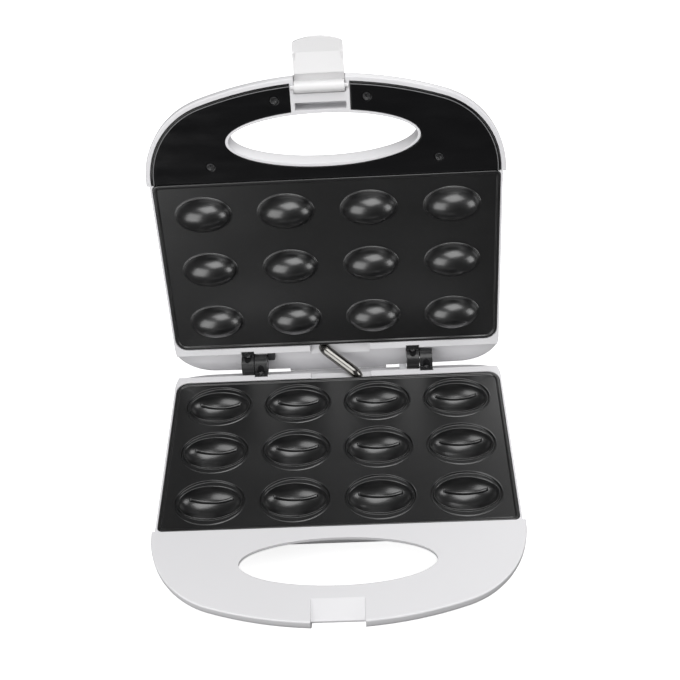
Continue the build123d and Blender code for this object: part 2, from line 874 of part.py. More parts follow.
def latch_clip():
    """The latch as it hangs when closed: barrel, tongue, hook and lead-in wedge."""
    face = latch_face_y
    inner = ledge_y - latch_clear
    tip_z = latch_z - latch_reach
    catch = base_top_z - notch_drop - ledge_t - latch_clear
    crest = inner + latch_hook
    outline = [
        (latch_y, latch_z + latch_r),
        (latch_y, latch_z),
        (inner, latch_z - latch_r * 0.78),
        (inner, catch),
        (crest, catch - 0.3),
        (crest, catch - 1),
        (face + latch_t, tip_z + latch_flat),
        (face + latch_t, tip_z),
        (face, tip_z),
        (face, latch_z + 1.4),
        (face + 1.6, latch_z + latch_r - 0.7),
    ]
    half = latch_w / 2
    clip = side_profile(outline, -half, half) + rod(latch_r, -half, half, latch_y, latch_z)
    rib_y = face + latch_t
    for sign in (-1, 1):
        x0, x1 = sorted((sign * half, sign * (half - latch_rib)))
        clip += box(x0, x1, rib_y - latch_t / 2, rib_y + latch_rib_h, tip_z + latch_flat, catch - latch_rib)
    clip &= latch_front(half, tip_z)
    return clip - rod(latch_pin_r + pin_clear, -half - 1, half + 1, latch_y, latch_z)


def latch_front(half, tip_z):
    """The tongue's outline seen from the front, with a crowned tip."""
    top = latch_z + latch_r + 1
    edges = [
        ThreePointArc((-half, tip_z + latch_crown), (0, tip_z), (half, tip_z + latch_crown)),
        Polyline((half, tip_z + latch_crown), (half, top), (-half, top), (-half, tip_z + latch_crown)),
    ]
    outline = make_face(Curve() + edges)
    outline = fillet(outline.vertices().group_by(Axis.Y)[0], latch_t)
    return extrude(Plane.XZ.offset(-latch_y) * outline, latch_reach, both=True)


def latch_pin():
    """The latch's axle."""
    half = notch_half() + pocket_wall - 0.6
    return rod(latch_pin_r, -half, half, latch_y, latch_z)


def hinge_pin(centre):
    """A steel pin through both knuckles of one hinge."""
    half = knuckle_w + knuckle_gap / 2
    return rod(pin_r, centre - half, centre + half, hinge_y, axis_level)


def conduit_points():
    """The conduit's route with the lid open: up out of the base, across, into the lid."""
    lid_z = lid_rim_z + conduit_sink
    inner = opening() * Pos(conduit_lid_x, conduit_y + conduit_lean, lid_z + conduit_depth)
    outer = opening() * Pos(conduit_lid_x, conduit_y, lid_z)
    base_outer = Vector(conduit_base_x, conduit_y, base_top_z - conduit_sink)
    base_inner = base_outer + Vector(0, conduit_lean, -conduit_depth)
    return [inner.position, outer.position, base_outer, base_inner]


def conduit(radius):
    """The sleeve along its route."""
    path = FilletPolyline(*conduit_points(), radius=conduit_bend)
    return sweep(Plane(path @ 0, z_dir=path % 0) * Circle(radius), path=path)


def opening():
    """Turns a closed lid piece open, about the hinge axis."""
    return Pos(0, hinge_y, parting_z) * Rot(-open_angle, 0, 0) * Pos(0, -hinge_y, -parting_z)


def unfolding():
    """Turns the hanging latch outward, about its own pin."""
    return Pos(0, latch_y, latch_z) * Rot(-90, 0, 0) * Pos(0, -latch_y, -latch_z)


def in_base(piece):
    """Places a piece that hangs below the base's rim plane."""
    return Pos(0, 0, base_top_z) * piece


def in_lid(piece):
    """Places a piece that was drawn hanging below the lid's rim plane, the other way up."""
    return opening() * Pos(0, 0, lid_rim_z) * mirror(piece, Plane.XY)


def at_plate(piece):
    """Lifts a piece drawn from a plate's cooking face to the rim plane's frame."""
    return Pos(0, 0, lower_face) * piece


def solids_of(pieces):
    """The separate solids in one piece or in a list of pieces."""
    group = pieces if isinstance(pieces, list) else [pieces]
    return [solid for piece in group for solid in piece.solids()]


def build():
    """All pieces by name, the lid open and the latch folded out."""
    sleeve_room = conduit(conduit_r + 2 * fit)
    _, base_clip = ledge_and_clip(1)
    _, lid_clip = ledge_and_clip(-1)
    parts = {
        "base_housing": in_base(base_housing()) - sleeve_room,
        "base_bottom_cover": in_base(bottom_cover()),
        "bottom_cover_screws": [in_base(item) for item in bottom_cover_screws()],
        "lower_plate": in_base(at_plate(lower_plate())),
        "lower_heater": in_base(at_plate(heater())),
        "lower_reflector": in_base(at_plate(heat_shield())),
        "lower_plate_screws": [in_base(at_plate(item)) for item in shield_screws()],
        "thermostat": in_base(at_plate(thermostat())),
        "thermal_fuse": in_base(at_plate(thermal_fuse())),
        "terminal_block": in_base(terminal_block()),
        "cord_gland": in_base(cord_gland()),
        "base_plate_clip": in_base(base_clip),
        "lid_housing": in_lid(lid_housing()) - sleeve_room,
        "handle_inner_cover": in_lid(handle_inner_cover()),
        "handle_cover_screws": [in_lid(item) for item in cover_screw_set()],
        "upper_plate": in_lid(at_plate(upper_plate())),
        "upper_heater": in_lid(at_plate(heater())),
        "upper_reflector": in_lid(at_plate(heat_shield())),
        "upper_plate_screws": [in_lid(at_plate(item)) for item in shield_screws()],
        "power_lamp": in_lid(lamp(-1)),
        "ready_lamp": in_lid(lamp(1)),
        "lamp_holder": in_lid(lamp_holder()),
        "lid_plate_clip": in_lid(lid_clip),
        "latch_clip": opening() * unfolding() * latch_clip(),
        "latch_pin": opening() * latch_pin(),
        "link_conduit": conduit(conduit_r),
    }
    for name, centre in (("left", -hinge_x), ("right", hinge_x)):
        parts[f"base_hinge_leaf_{name}"] = in_base(hinge_leaf(centre, 1, pin_r))
        parts[f"lid_hinge_leaf_{name}"] = in_lid(hinge_leaf(centre, -1, pin_r + pin_clear))
        parts[f"hinge_pin_{name}"] = in_base(hinge_pin(centre))
    for name, (x, y) in foot_places().items():
        parts[f"foot_{name}"] = in_base(Pos(x, y, 0) * foot())
    centres = (-hinge_x, hinge_x)
    parts["base_hinge_screws"] = [in_base(leaf_screw(centre, 1)) for centre in centres]
    parts["lid_hinge_screws"] = [in_lid(leaf_screw(centre, -1)) for centre in centres]
    return parts


def main():
    """Writes one STEP file per piece, in the worktop frame."""
    os.makedirs("parts", exist_ok=True)
    pieces = {name: solids_of(shapes) for name, shapes in build().items()}
    everything = Compound(children=[solid for group in pieces.values() for solid in group])
    bounds = everything.bounding_box()
    middle_y = (bounds.min.Y + bounds.max.Y) / 2
    shift = Pos(0, -middle_y, base_form["depth"] + foot_drop - base_top_z)
    for name, group in pieces.items():
        moved = [shift * solid for solid in group]
        export_step(Compound(label=name, children=moved), f"parts/{name}.step")
    hinge = shift * Pos(0, hinge_y, parting_z)
    latch = shift * opening() * Pos(0, latch_y, latch_z)
    print("hinge axis", hinge.position, "latch axis", latch.position, "middle", middle_y)


main()
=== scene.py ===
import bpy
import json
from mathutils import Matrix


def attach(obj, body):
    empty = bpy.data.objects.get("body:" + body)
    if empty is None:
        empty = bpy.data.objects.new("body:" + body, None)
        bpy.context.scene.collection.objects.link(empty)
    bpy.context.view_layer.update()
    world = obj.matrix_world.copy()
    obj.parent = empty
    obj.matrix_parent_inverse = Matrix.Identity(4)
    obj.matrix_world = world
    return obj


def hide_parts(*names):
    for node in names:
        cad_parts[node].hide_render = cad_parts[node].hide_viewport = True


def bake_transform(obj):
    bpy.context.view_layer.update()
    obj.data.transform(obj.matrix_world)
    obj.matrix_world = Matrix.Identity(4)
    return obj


bl_info = {
    "name": "Walnut cookie maker",
    "version": (1, 0, 0),
    "blender": (4, 5, 0),
    "location": "View3D > Sidebar > Cooker",
    "description": "Dresses the cooker's frame: mould plates, screws, sleeve, finishes and stage",
    "category": "Object",
}

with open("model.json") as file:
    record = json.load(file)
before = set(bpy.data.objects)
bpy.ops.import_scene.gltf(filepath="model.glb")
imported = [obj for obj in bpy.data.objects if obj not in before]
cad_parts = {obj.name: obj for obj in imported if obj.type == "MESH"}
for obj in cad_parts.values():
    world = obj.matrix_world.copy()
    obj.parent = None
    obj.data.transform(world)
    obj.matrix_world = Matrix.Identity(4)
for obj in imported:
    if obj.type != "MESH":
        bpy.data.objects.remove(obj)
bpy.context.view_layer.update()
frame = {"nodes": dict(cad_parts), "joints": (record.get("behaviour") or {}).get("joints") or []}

import json
import math

import bmesh
import bpy
from bpy.props import FloatProperty, FloatVectorProperty, IntProperty, PointerProperty
from mathutils import Matrix, Vector

MM = 0.001
LID_HINGE = next(joint for joint in frame["joints"] if joint["name"] == "lid_hinge")
HINGE = Vector(LID_HINGE["pos_m"])
OPEN = math.radians(LID_HINGE["range_deg"][1])
SWING = Matrix.Translation(HINGE) @ Matrix.Rotation(-OPEN, 4, "X") @ Matrix.Translation(-HINGE)

# The middle of the lower plate's cooking face, in front of the hinge and below it
PLATE = HINGE - Vector((0.0, 73.06, 2.0)) * MM

# How far apart the two cooking faces are when closed; all further sizes are in millimetres too
FACE_GAP = 4.0

# From each plate's own axes to the frame's. The lid's are a mirror image, swung open.
BASE_PLACE = Matrix.Translation(PLATE)
LID_CLOSED = Matrix.Translation(PLATE + Vector((0.0, 0.0, FACE_GAP)) * MM)
LID_PLACE = SWING @ LID_CLOSED @ Matrix.Diagonal((1.0, 1.0, -1.0, 1.0))


def link(data, name):
    """A new object in the scene for a mesh, curve, lamp or camera."""
    piece = bpy.data.objects.new(name, data)
    bpy.context.scene.collection.objects.link(piece)
    return piece


def drop(*pieces):
    """Removes helper objects."""
    for piece in pieces:
        bpy.data.objects.remove(piece, do_unlink=True)


def mesh_of(name, points, faces, unit=MM):
    """A mesh from faces and points, in millimetres or another unit."""
    mesh = bpy.data.meshes.new(name)
    mesh.from_pydata([tuple(value * unit for value in point) for point in points], [], faces)
    mesh.update()
    return mesh


def settle(piece, matrix):
    """Moves a mesh into place and turns its faces outwards again where it was mirrored."""
    piece.data.transform(matrix)
    if matrix.determinant() < 0:
        piece.data.flip_normals()
    piece.data.update()


def evaluated(piece):
    """A piece's mesh with its modifiers applied."""
    bpy.context.view_layer.update()
    graph = bpy.context.evaluated_depsgraph_get()
    return bpy.data.meshes.new_from_object(piece.evaluated_get(graph))


# Node trees


class Tree:
    """A short way to add nodes and join them."""

    def __init__(self, tree):
        self.tree = tree
        self.column = 0

    def node(self, kind, settings=None, **inputs):
        """Adds a node and sets its properties and its inputs, by name or by number as in_0."""
        node = self.tree.nodes.new(kind)
        node.location = (self.column * 180, 0)
        self.column += 1
        for key, value in (settings or {}).items():
            setattr(node, key, value)
        for key, value in inputs.items():
            self.feed(node, key.replace("_", " "), value)
        return node

    def feed(self, node, key, value):
        """Sets one input, or links it to a socket or to another node's first output."""
        socket = node.inputs[int(key[3:]) if key.startswith("in ") else key]
        if isinstance(value, bpy.types.Node):
            value = value.outputs[0]
        if isinstance(value, bpy.types.NodeSocket):
            self.tree.links.new(value, socket)
        else:
            socket.default_value = value

    def geo(self, kind, settings=None, **inputs):
        """Adds a Geometry Nodes node."""
        return self.node("GeometryNode" + kind, settings, **inputs)

    def shape(self, piece):
        """The mesh of an object that the tree is given."""
        return self.geo("ObjectInfo", Object=piece).outputs["Geometry"]

    def math(self, operation, *values):
        """A Math node on up to three values."""
        inputs = {f"in_{index}": value for index, value in enumerate(values)}
        return self.node("ShaderNodeMath", {"operation": operation}, **inputs)

    def vector(self, operation, first, second):
        """A Vector Math node on two vectors."""
        return self.node("ShaderNodeVectorMath", {"operation": operation}, in_0=first, in_1=second)

    def span(self, value, low, high, to_low=0.0, to_high=1.0):
        """A value carried from one range over to another."""
        source = {"Value": value, "From_Min": low, "From_Max": high}
        return self.node("ShaderNodeMapRange", **source, To_Min=to_low, To_Max=to_high)

    def noise(self, place, scale, detail):
        """A noise texture."""
        return self.node("ShaderNodeTexNoise", Vector=place, Scale=scale, Detail=detail)

    def here(self):
        """The shaded point, seen from its own object."""
        return self.node("ShaderNodeTexCoord").outputs["Object"]


SOCKETS = {float: "Float", int: "Int", tuple: "Vector"}

# Cosines between soft and plain normals where an edge begins and where it is full
EDGE_COSINES = (0.985, 0.8)
# The stretches of a noise's values that break up edges and that vary the gloss
SPOT_STRETCH, GLOSS_STRETCH = (0.4, 0.65), (0.3, 0.7)
SMOOTHEST = 0.02
# Streaks on the sleeve, for each metre along it and for each turn round it
STREAK_SCALE = (60.0, 30.0, 0.0)


def shared_group(name, kind, inputs, outputs):
    """Turns a function that fills a node group into one that gives the group, made once.

    An input is given by its value, or by its kind where it has none.
    """
    result = "Float" if kind == "ShaderNodeTree" else "Geometry"

    def wrap(fill):
        def group():
            if name in bpy.data.node_groups:
                return bpy.data.node_groups[name]
            tree = bpy.data.node_groups.new(name, kind)
            for label, value in inputs.items():
                empty = isinstance(value, str)
                socket = "NodeSocket" + (value if empty else SOCKETS[type(value)])
                made = tree.interface.new_socket(label, in_out="INPUT", socket_type=socket)
                if not empty:
                    made.default_value = value
            for label in outputs:
                socket = "NodeSocket" + result
                tree.interface.new_socket(label, in_out="OUTPUT", socket_type=socket)
            build = Tree(tree)
            give = build.node("NodeGroupInput").outputs
            leave = build.node("NodeGroupOutput")
            for label, value in zip(outputs, fill(build, give)):
                build.feed(leave, label, value)
            return tree

        return group

    return wrap


@shared_group(
    "Moulded Grain",
    "ShaderNodeTree",
    {"Grain Scale": 1800.0, "Flow Scale": 18.0, "Flow Amount": 0.4},
    ("Tint", "Gloss", "Height"),
)
def moulded_grain(build, give):
    """The fine grain and faint flow marks of moulded or coated surfaces."""
    place = build.here()
    fine = build.noise(place, give["Grain Scale"], detail=2.0)
    flow = build.noise(place, give["Flow Scale"], detail=3.0)
    pulled = build.math("MULTIPLY", flow, give["Flow Amount"])
    rest = build.math("SUBTRACT", 1.0, give["Flow Amount"])
    tint = build.math("MULTIPLY_ADD", fine, rest, pulled)
    gloss = build.math("MULTIPLY_ADD", flow, 0.7, build.math("MULTIPLY", fine, 0.3))
    return tint, gloss, build.math("MULTIPLY_ADD", flow, 0.25, fine)


@shared_group(
    "Edge Wear",
    "ShaderNodeTree",
    {"Radius": 0.0006, "Break Scale": 700.0, "Amount": 0.6},
    ("Mask",),
)
def edge_wear_and_sheen(build, give):
    """A mask along edges, broken up by noise: for worn edges, and on the screws' heads also for a
    painted highlight.
    """
    soft = build.node("ShaderNodeBevel", {"samples": 4}, Radius=give["Radius"])
    plain = build.node("ShaderNodeNewGeometry").outputs["Normal"]
    cosine = build.vector("DOT_PRODUCT", soft, plain).outputs["Value"]
    edge = build.span(cosine, *EDGE_COSINES)
    broken = build.noise(build.here(), give["Break Scale"], detail=3.0)
    spots = build.span(broken, *SPOT_STRETCH)
    return (build.math("MULTIPLY", build.math("MULTIPLY", edge, spots), give["Amount"]),)


@shared_group(
    "Coating Speckle",
    "ShaderNodeTree",
    {"Fleck Scale": 1500.0, "Fleck Share": 0.06},
    ("Flecks", "Cloud"),
)
def coating_speckle(build, give):
    """The tiny bright flecks of a non-stick coating, and its soft cloudiness."""
    place = build.here()
    cells = build.node("ShaderNodeTexVoronoi", Vector=place, Scale=give["Fleck Scale"])
    pick = build.node("ShaderNodeSeparateColor", Color=cells.outputs["Color"])
    flecks = build.math("LESS_THAN", pick, give["Fleck Share"])
    return flecks, build.noise(place, scale=26.0, detail=4.0)


@shared_group(
    "Handling Marks",
    "ShaderNodeTree",
    {"Mark Scale": 30.0, "Stretch": (1.0, 4.0, 4.0)},
    ("Marks",),
)
def handling_marks(build, give):
    """Faint wipe marks on gloss, long one way."""
    pull = build.vector("MULTIPLY", build.here(), give["Stretch"])
    return (build.noise(pull, give["Mark Scale"], detail=5.0),)


def toned(color, strength=1.0):
    """A colour made stronger or weaker, with its alpha."""
    return tuple(min(1.0, channel * strength) for channel in color[:3]) + (1.0,)


class Finish:
    """A material with one Principled shader, to which groups are added."""

    def __init__(self, name, color, roughness, **sockets):
        self.material = bpy.data.materials.new(name)
        self.material.use_nodes = True
        self.build = Tree(self.material.node_tree)
        self.shader = self.material.node_tree.nodes["Principled BSDF"]
        self.color = color
        self.roughness = roughness
        self.put("Roughness", roughness)
        self.base(toned(color))
        for key, value in sockets.items():
            self.put(key.replace("_", " "), value)

    def put(self, key, value):
        """Sets or links one input of the shader."""
        self.build.feed(self.shader, key, value)

    def base(self, tone):
        """Sets or links the base colour."""
        self.tone = tone
        self.put("Base Color", tone)
        return self

    def group(self, maker, **inputs):
        """Places a shared group with this finish's own values."""
        return self.build.node("ShaderNodeGroup", {"node_tree": maker()}, **inputs)

    def blend(self, factor, first, second):
        """A base colour between two; either may be a socket or a colour."""
        sides = {"in_0": factor, "in_6": first, "in_7": second}
        mix = self.build.node("ShaderNodeMix", {"data_type": "RGBA"}, **sides)
        return self.base(mix.outputs[2])

    def shade(self, factor, low, high):
        """Base colour that drifts between two strengths of the finish's colour."""
        return self.blend(factor, toned(self.color, low), toned(self.color, high))

    def polish(self, factor, spread):
        """Roughness that drifts a little round the finish's own."""
        ends = (max(SMOOTHEST, self.roughness - spread), self.roughness + spread)
        self.put("Roughness", self.build.span(factor, *GLOSS_STRETCH, *ends))
        return self

    def bump(self, height, strength, distance, edge=0.0):
        """Fine relief, on edges that look rounded where a radius in metres is given."""
        relief = {"Height": height, "Strength": strength, "Distance": distance}
        node = self.build.node("ShaderNodeBump", **relief)
        if edge:
            soft = self.build.node("ShaderNodeBevel", {"samples": 6}, Radius=edge)
            self.build.feed(node, "Normal", soft)
        self.put("Normal", node)
        return self

    def grain(self, scale, flow, tones, spread, relief, amount=0.4, edge=0.0):
        """The moulded grain on colour, gloss and relief."""
        values = {"Grain_Scale": scale, "Flow_Scale": flow, "Flow_Amount": amount}
        node = self.group(moulded_grain, **values)
        self.shade(node.outputs["Tint"], *tones)
        self.polish(node.outputs["Gloss"], spread)
        return self.bump(node.outputs["Height"], *relief, edge)

    def wear(self, color, radius, scale, amount):
        """A lighter colour along the edges."""
        node = self.group(edge_wear_and_sheen, Radius=radius, Break_Scale=scale, Amount=amount)
        return self.blend(node, self.tone, toned(color))


def white_shell(settings):
    """Satin white moulded plastic."""
    finish = Finish("White moulded shell", settings.shell_color, settings.shell_roughness)
    tones, relief = (0.975, 1.015), (0.08, 0.00004)
    return finish.grain(2200.0, 14.0, tones, 0.04, relief, amount=0.6, edge=0.0005).material


def latch_white(settings):
    """The latch's plastic, a shade greyer than the shells."""
    finish = Finish("Latch plastic", settings.latch_color, 0.3)
    return finish.grain(2400.0, 30.0, (0.97, 1.02), 0.05, (0.08, 0.00004), edge=0.0004).material


def gloss_black(settings):
    """Glossy black moulded plastic with faint wipe marks."""
    finish = Finish("Gloss black cover", settings.cover_color, 0.13)
    marks = finish.group(handling_marks, Mark_Scale=34.0)
    finish.shade(marks, 0.8, 1.3).polish(marks, 0.05)
    grain = finish.group(moulded_grain, Grain_Scale=2600.0, Flow_Scale=22.0)
    return finish.bump(grain.outputs["Height"], 0.03, 0.00003, edge=0.0011).material


def nonstick(settings, name):
    """Charcoal non-stick coating: cloudy, finely pebbled, with tiny flecks."""
    color = settings.coating_color
    coat = {"Coat_Weight": settings.coating_coat, "Coat_Roughness": settings.coating_shine}
    finish = Finish(name, color, settings.coating_roughness, IOR=settings.coating_ior, **coat)
    speckle = finish.group(coating_speckle, Fleck_Scale=1700.0, Fleck_Share=0.03)
    cloud = speckle.outputs["Cloud"]
    finish.shade(cloud, 0.75, 1.25).blend(speckle, finish.tone, toned(color, 2.5))
    finish.polish(cloud, 0.04).wear((0.05, 0.05, 0.053), 0.0004, 900.0, 0.15)
    grain = finish.group(moulded_grain, Grain_Scale=1500.0, Flow_Scale=60.0, Flow_Amount=0.2)
    return finish.bump(grain.outputs["Height"], 0.16, 0.00006).material


def painted_black(name, color, wear=0.6):
    """Black painted steel, worn bright along its edges; on the screws this lightening is also a
    painted highlight on the heads' rims.
    """
    finish = Finish(name, color, 0.33)
    finish.grain(1600.0, 60.0, (0.7, 1.4), 0.07, (0.14, 0.00005), edge=0.0004)
    return finish.wear((0.16, 0.16, 0.165), 0.0004, 800.0, wear).material


def bare_metal(name, color, roughness, low=0.85, high=1.1):
    """Plain metal with fine machining grain."""
    finish = Finish(name, color, roughness, Metallic=1.0)
    finish.grain(900.0, 40.0, (low, high), 0.06, (0.1, 0.00003))
    return finish.wear((0.75, 0.75, 0.76), 0.0003, 900.0, 0.4).material


def plain_moulding(name, color, roughness, strength=0.12):
    """Matt moulded plastic or rubber."""
    finish = Finish(name, color, roughness)
    return finish.grain(1500.0, 50.0, (0.85, 1.15), 0.06, (strength, 0.00006)).material


def pilot_lens(name, color):
    """A pilot lamp's coloured lens."""
    finish = Finish(name, color, 0.08, Transmission_Weight=0.6, IOR=1.49)
    grain = finish.group(moulded_grain, Grain_Scale=900.0, Flow_Scale=90.0)
    return finish.shade(grain, 0.85, 1.15).bump(grain.outputs["Height"], 0.05, 0.00005).material


def sleeve_silver(color):
    """The sleeve's bright skin, drawn along its length."""
    finish = Finish("Silver sleeve", color, 0.19, Metallic=1.0)
    build = finish.build
    lay = build.node("ShaderNodeAttribute", {"attribute_name": "lay"})
    pull = build.vector("MULTIPLY", lay.outputs["Vector"], STREAK_SCALE)
    streaks = build.noise(pull, scale=1.0, detail=4.0)
    finish.shade(streaks, 0.85, 1.15).polish(streaks, 0.04)
    return finish.bump(streaks, 0.05, 0.00003).material


def paint(material, *nodes):
    """Gives carried-over solids their finish."""
    for node in nodes:
        slots = frame["nodes"][node].data.materials
        slots.clear()
        slots.append(material)


# Mould plates: one cell for each cup or dome, and a frame round the field of cells

# Profiles across rings, from outside to inside: how far out of an oval, and a share of the depth
MOAT_OUTSIDE = (
    (1.15, 0.0), (1.0, 0.0), (0.85, -0.06), (0.65, -0.24), (0.45, -0.34), (0.25, -0.3),
    (0.1, -0.1), (0.0, 0.25), (-0.1, 0.6), (-0.28, 0.9), (-0.5, 1.0), (-0.7, 1.0),
)
MOAT_INSIDE = (
    (1.15, 1.0), (1.0, 0.98), (0.86, 0.8), (0.76, 0.4),
    (0.66, 0.12), (0.52, 0.0), (0.32, 0.06), (0.1, 0.32),
)
DOME_STEP = (
    (0.5, 0.0), (0.3, 0.0), (0.14, 0.12), (0.02, 0.45), (-0.08, 0.8), (-0.18, 0.97), (-0.28, 1.0),
)
# The same round a dome's foot, but with its height
DOME_FOOT = ((0.3, 0.0), (0.18, 0.02), (0.07, 0.12), (0.02, 0.3))

# Half-round forms, in degrees: where they leave the edge, and where they close at the pole
CUP_EDGE, DOME_EDGE, POLE, UNDER_POLE = 3.5, 5.5, 87.0, 86.0
# How many rings they have, on their face and behind it
CUP_RINGS, CUP_BACK_RINGS, DOME_RINGS, DOME_BACK_RINGS = 20, 12, 21, 14
# How far the skin behind them flares out on the flat
CUP_FLARE, DOME_FLARE = 0.4, 0.3

# A seam ridge's section, as shares of half its width and of its height
SEAM_SECTION = (
    (-1.0, -0.6), (-1.0, 0.3), (-0.75, 0.8), (-0.3, 1.0),
    (0.3, 1.0), (0.75, 0.8), (1.0, 0.3), (1.0, -0.6),
)
SEAM_STATIONS, SEAM_BLUNTNESS, SEAM_END = 33, 5, 0.05

# The tightest corner that the plate's frame still draws
LEAST_CORNER = 0.6


def side_steps(count):
    """Places along one side of a cell, from -1 to 1, even in angle seen from its middle."""
    return [math.tan(math.radians(-45 + 90 * index / count)) for index in range(count)]


def cell_rings(settings):
    """A cell's rim, anticlockwise from its lower left corner, and a maker of matching ovals."""
    half_x = settings.cell_length / 2
    half_y = settings.cell_width / 2
    steps = side_steps(settings.facets)
    rim = [(half_x * step, -half_y) for step in steps]
    rim += [(half_x, half_y * step) for step in steps]
    rim += [(-half_x * step, half_y) for step in steps]
    rim += [(-half_x, -half_y * step) for step in steps]
    turns = [math.atan2(y / half_y, x / half_x) for x, y in rim]

    def oval(a, b, z):
        return [(a * math.cos(turn), b * math.sin(turn), z) for turn in turns]

    return rim, oval


def at_level(rim, z):
    """A rim's points at one level."""
    return [(x, y, z) for x, y in rim]


def oriented(faces, flip):
    """Faces as they are, or turned over."""
    return [face[::-1] if flip else face for face in faces]


def loft(rings, flip=False, pole=False):
    """Faces between closed rings of equal length, from the outermost ring inwards."""
    count = len(rings[0])
    points = [point for ring in rings for point in ring]
    pairs = [(index, (index + 1) % count) for index in range(count)]
    faces = []
    for low in range(0, len(points) - count, count):
        high = low + count
        faces += [(low + index, low + after, high + after, high + index) for index, after in pairs]
    if pole:
        last = len(points) - count
        faces += [(last + index, last + after, len(points)) for index, after in pairs]
        ring = rings[-1]
        points.append(tuple(sum(point[axis] for point in ring) / count for axis in range(3)))
    return points, oriented(faces, flip)


def round_rings(oval, sizes, first, last, steps, sign):
    """Rings down or up a half-round form, from one angle to another, short of its pole."""
    a, b, height = sizes
    rings = []
    for index in range(steps):
        angle = math.radians(first + (last - first) * index / (steps - 1))
        shrink = math.cos(angle)
        rings.append(oval(a * shrink, b * shrink, sign * height * math.sin(angle)))
    return rings


def under_skin(settings, rim, oval, sizes, flare, steps, sign):
    """The skin behind a cup or dome, from the flat into a half-round form of those sizes."""
    start = math.asin(settings.sheet / sizes[2])
    flat = -settings.sheet
    rings = [at_level(rim, flat)]
    for grow in (1.0, flare):
        a, b = (size * math.cos(start) + grow for size in sizes[:2])
        rings.append(oval(a, b, flat))
    first = -sign * math.degrees(start)
    rings += round_rings(oval, sizes, first, UNDER_POLE, steps, sign)
    return loft(rings, flip=True, pole=True)


def cup_cell(settings):
    """The parts of one cup with its moat and its seam, in millimetres."""
    rim, oval = cell_rings(settings)
    a, b, deep = settings.cup_length / 2, settings.cup_width / 2, settings.cup_depth
    top = [at_level(rim, 0.0)]
    moat = ((settings.moat_length / 2, settings.moat_width / 2, MOAT_OUTSIDE), (a, b, MOAT_INSIDE))
    for long, wide, profile in moat:
        for grow, share in profile:
            top.append(oval(long + grow, wide + grow, -settings.moat_depth * share))
    top += round_rings(oval, (a, b, deep), CUP_EDGE, POLE, CUP_RINGS, -1)
    shell = [size + settings.cup_wall for size in (a, b, deep)]
    under = under_skin(settings, rim, oval, shell, CUP_FLARE, CUP_BACK_RINGS, -1)
    return [loft(top, pole=True), under] + [seam_ridge(settings, side) for side in (-1, 1)]


def dome_cell(settings):
    """The parts of one dome on its thin step, with the hollow behind it, in millimetres."""
    rim, oval = cell_rings(settings)
    a, b = settings.dome_length / 2, settings.dome_width / 2
    rise = settings.step_height
    top = [at_level(rim, 0.0)]
    for grow, share in DOME_STEP:
        reach = settings.step_width + grow
        top.append(oval(a + reach, b + reach, rise * share))
    top += [oval(a + grow, b + grow, rise + lift) for grow, lift in DOME_FOOT]
    top += round_rings(oval, (a, b, b), DOME_EDGE, POLE, DOME_RINGS, 1)
    hollow = [size - settings.cup_wall for size in (a, b, b)]
    under = under_skin(settings, rim, oval, hollow, DOME_FLARE, DOME_BACK_RINGS, 1)
    return [loft(top, pole=True), under]


def seam_ridge(settings, side):
    """One of the two low ridges along a cup's wall that shape the walnut's seam."""
    a = settings.cup_length / 2
    b = settings.cup_width / 2
    rings = []
    for index in range(SEAM_STATIONS):
        along = 2 * index / (SEAM_STATIONS - 1) - 1
        x = along * settings.seam_length / 2
        fall = math.sqrt(max(0.0, 1 - abs(along) ** SEAM_BLUNTNESS))
        ring = []
        for across, share in SEAM_SECTION:
            lift = share * (settings.seam_height * fall + SEAM_END)
            y = side * settings.seam_place + across * settings.seam_width / 2
            inside = 1 - (x / (a - lift)) ** 2 - (y / (b - lift)) ** 2
            ring.append((x, y, (lift - settings.cup_depth) * math.sqrt(inside)))
        rings.append(ring)
    points, faces = loft(rings, flip=True)
    count = len(SEAM_SECTION)
    ends = [tuple(range(count)), tuple(range(len(points) - 1, len(points) - 1 - count, -1))]
    return points, faces + ends


def joined(parts):
    """Several lists of points and faces as one."""
    points = []
    faces = []
    for more_points, more_faces in parts:
        shift = len(points)
        points += more_points
        faces += [tuple(shift + index for index in face) for face in more_faces]
    return points, faces


def spread(count, pitch):
    """Evenly spaced places about zero."""
    return [(index - (count - 1) / 2) * pitch for index in range(count)]


def cell_lines(settings):
    """Where the cells' points lie along X and along Y, over the whole field."""
    steps = side_steps(settings.facets) + [1.0]
    half_x, half_y = settings.cell_length / 2, settings.cell_width / 2
    columns = spread(settings.columns, settings.column_pitch)
    rows = spread(settings.rows, settings.row_pitch)
    across = [middle + half_x * step for middle in columns for step in steps]
    along = [settings.rows_offset + middle + half_y * step for middle in rows for step in steps]
    return across, along


def field_rim(settings):
    """The rim of the whole field of cells, anticlockwise, with the cells' own points."""
    across, along = cell_lines(settings)
    rim = [(x, along[0]) for x in across[:-1]]
    rim += [(across[-1], y) for y in along[:-1]]
    rim += [(x, along[-1]) for x in across[:0:-1]]
    rim += [(across[0], y) for y in along[:0:-1]]
    return rim


def field_strips(settings, level, flip):
    """The flat between neighbouring cells, at one level."""
    across, along = cell_lines(settings)
    per_cell = settings.facets + 1
    wide = len(across)
    faces = []
    for row in range(len(along) - 1):
        for column in range(wide - 1):
            if not ((column + 1) % per_cell and (row + 1) % per_cell):
                low = row * wide + column
                faces.append((low, low + 1, low + 1 + wide, low + wide))
    used = sorted({index for face in faces for index in face})
    places = {index: place for place, index in enumerate(used)}
    points = [(across[index % wide], along[index // wide], level) for index in used]
    return points, oriented([tuple(places[index] for index in face) for face in faces], flip)


def halved(points, face):
    """A four-sided face as two triangles, cut along its shorter diagonal."""
    a, b, c, d = (Vector(points[index]) for index in face)
    if (a - c).length < (b - d).length:
        return [(face[0], face[1], face[2]), (face[0], face[2], face[3])]
    return [(face[0], face[1], face[3]), (face[1], face[2], face[3])]


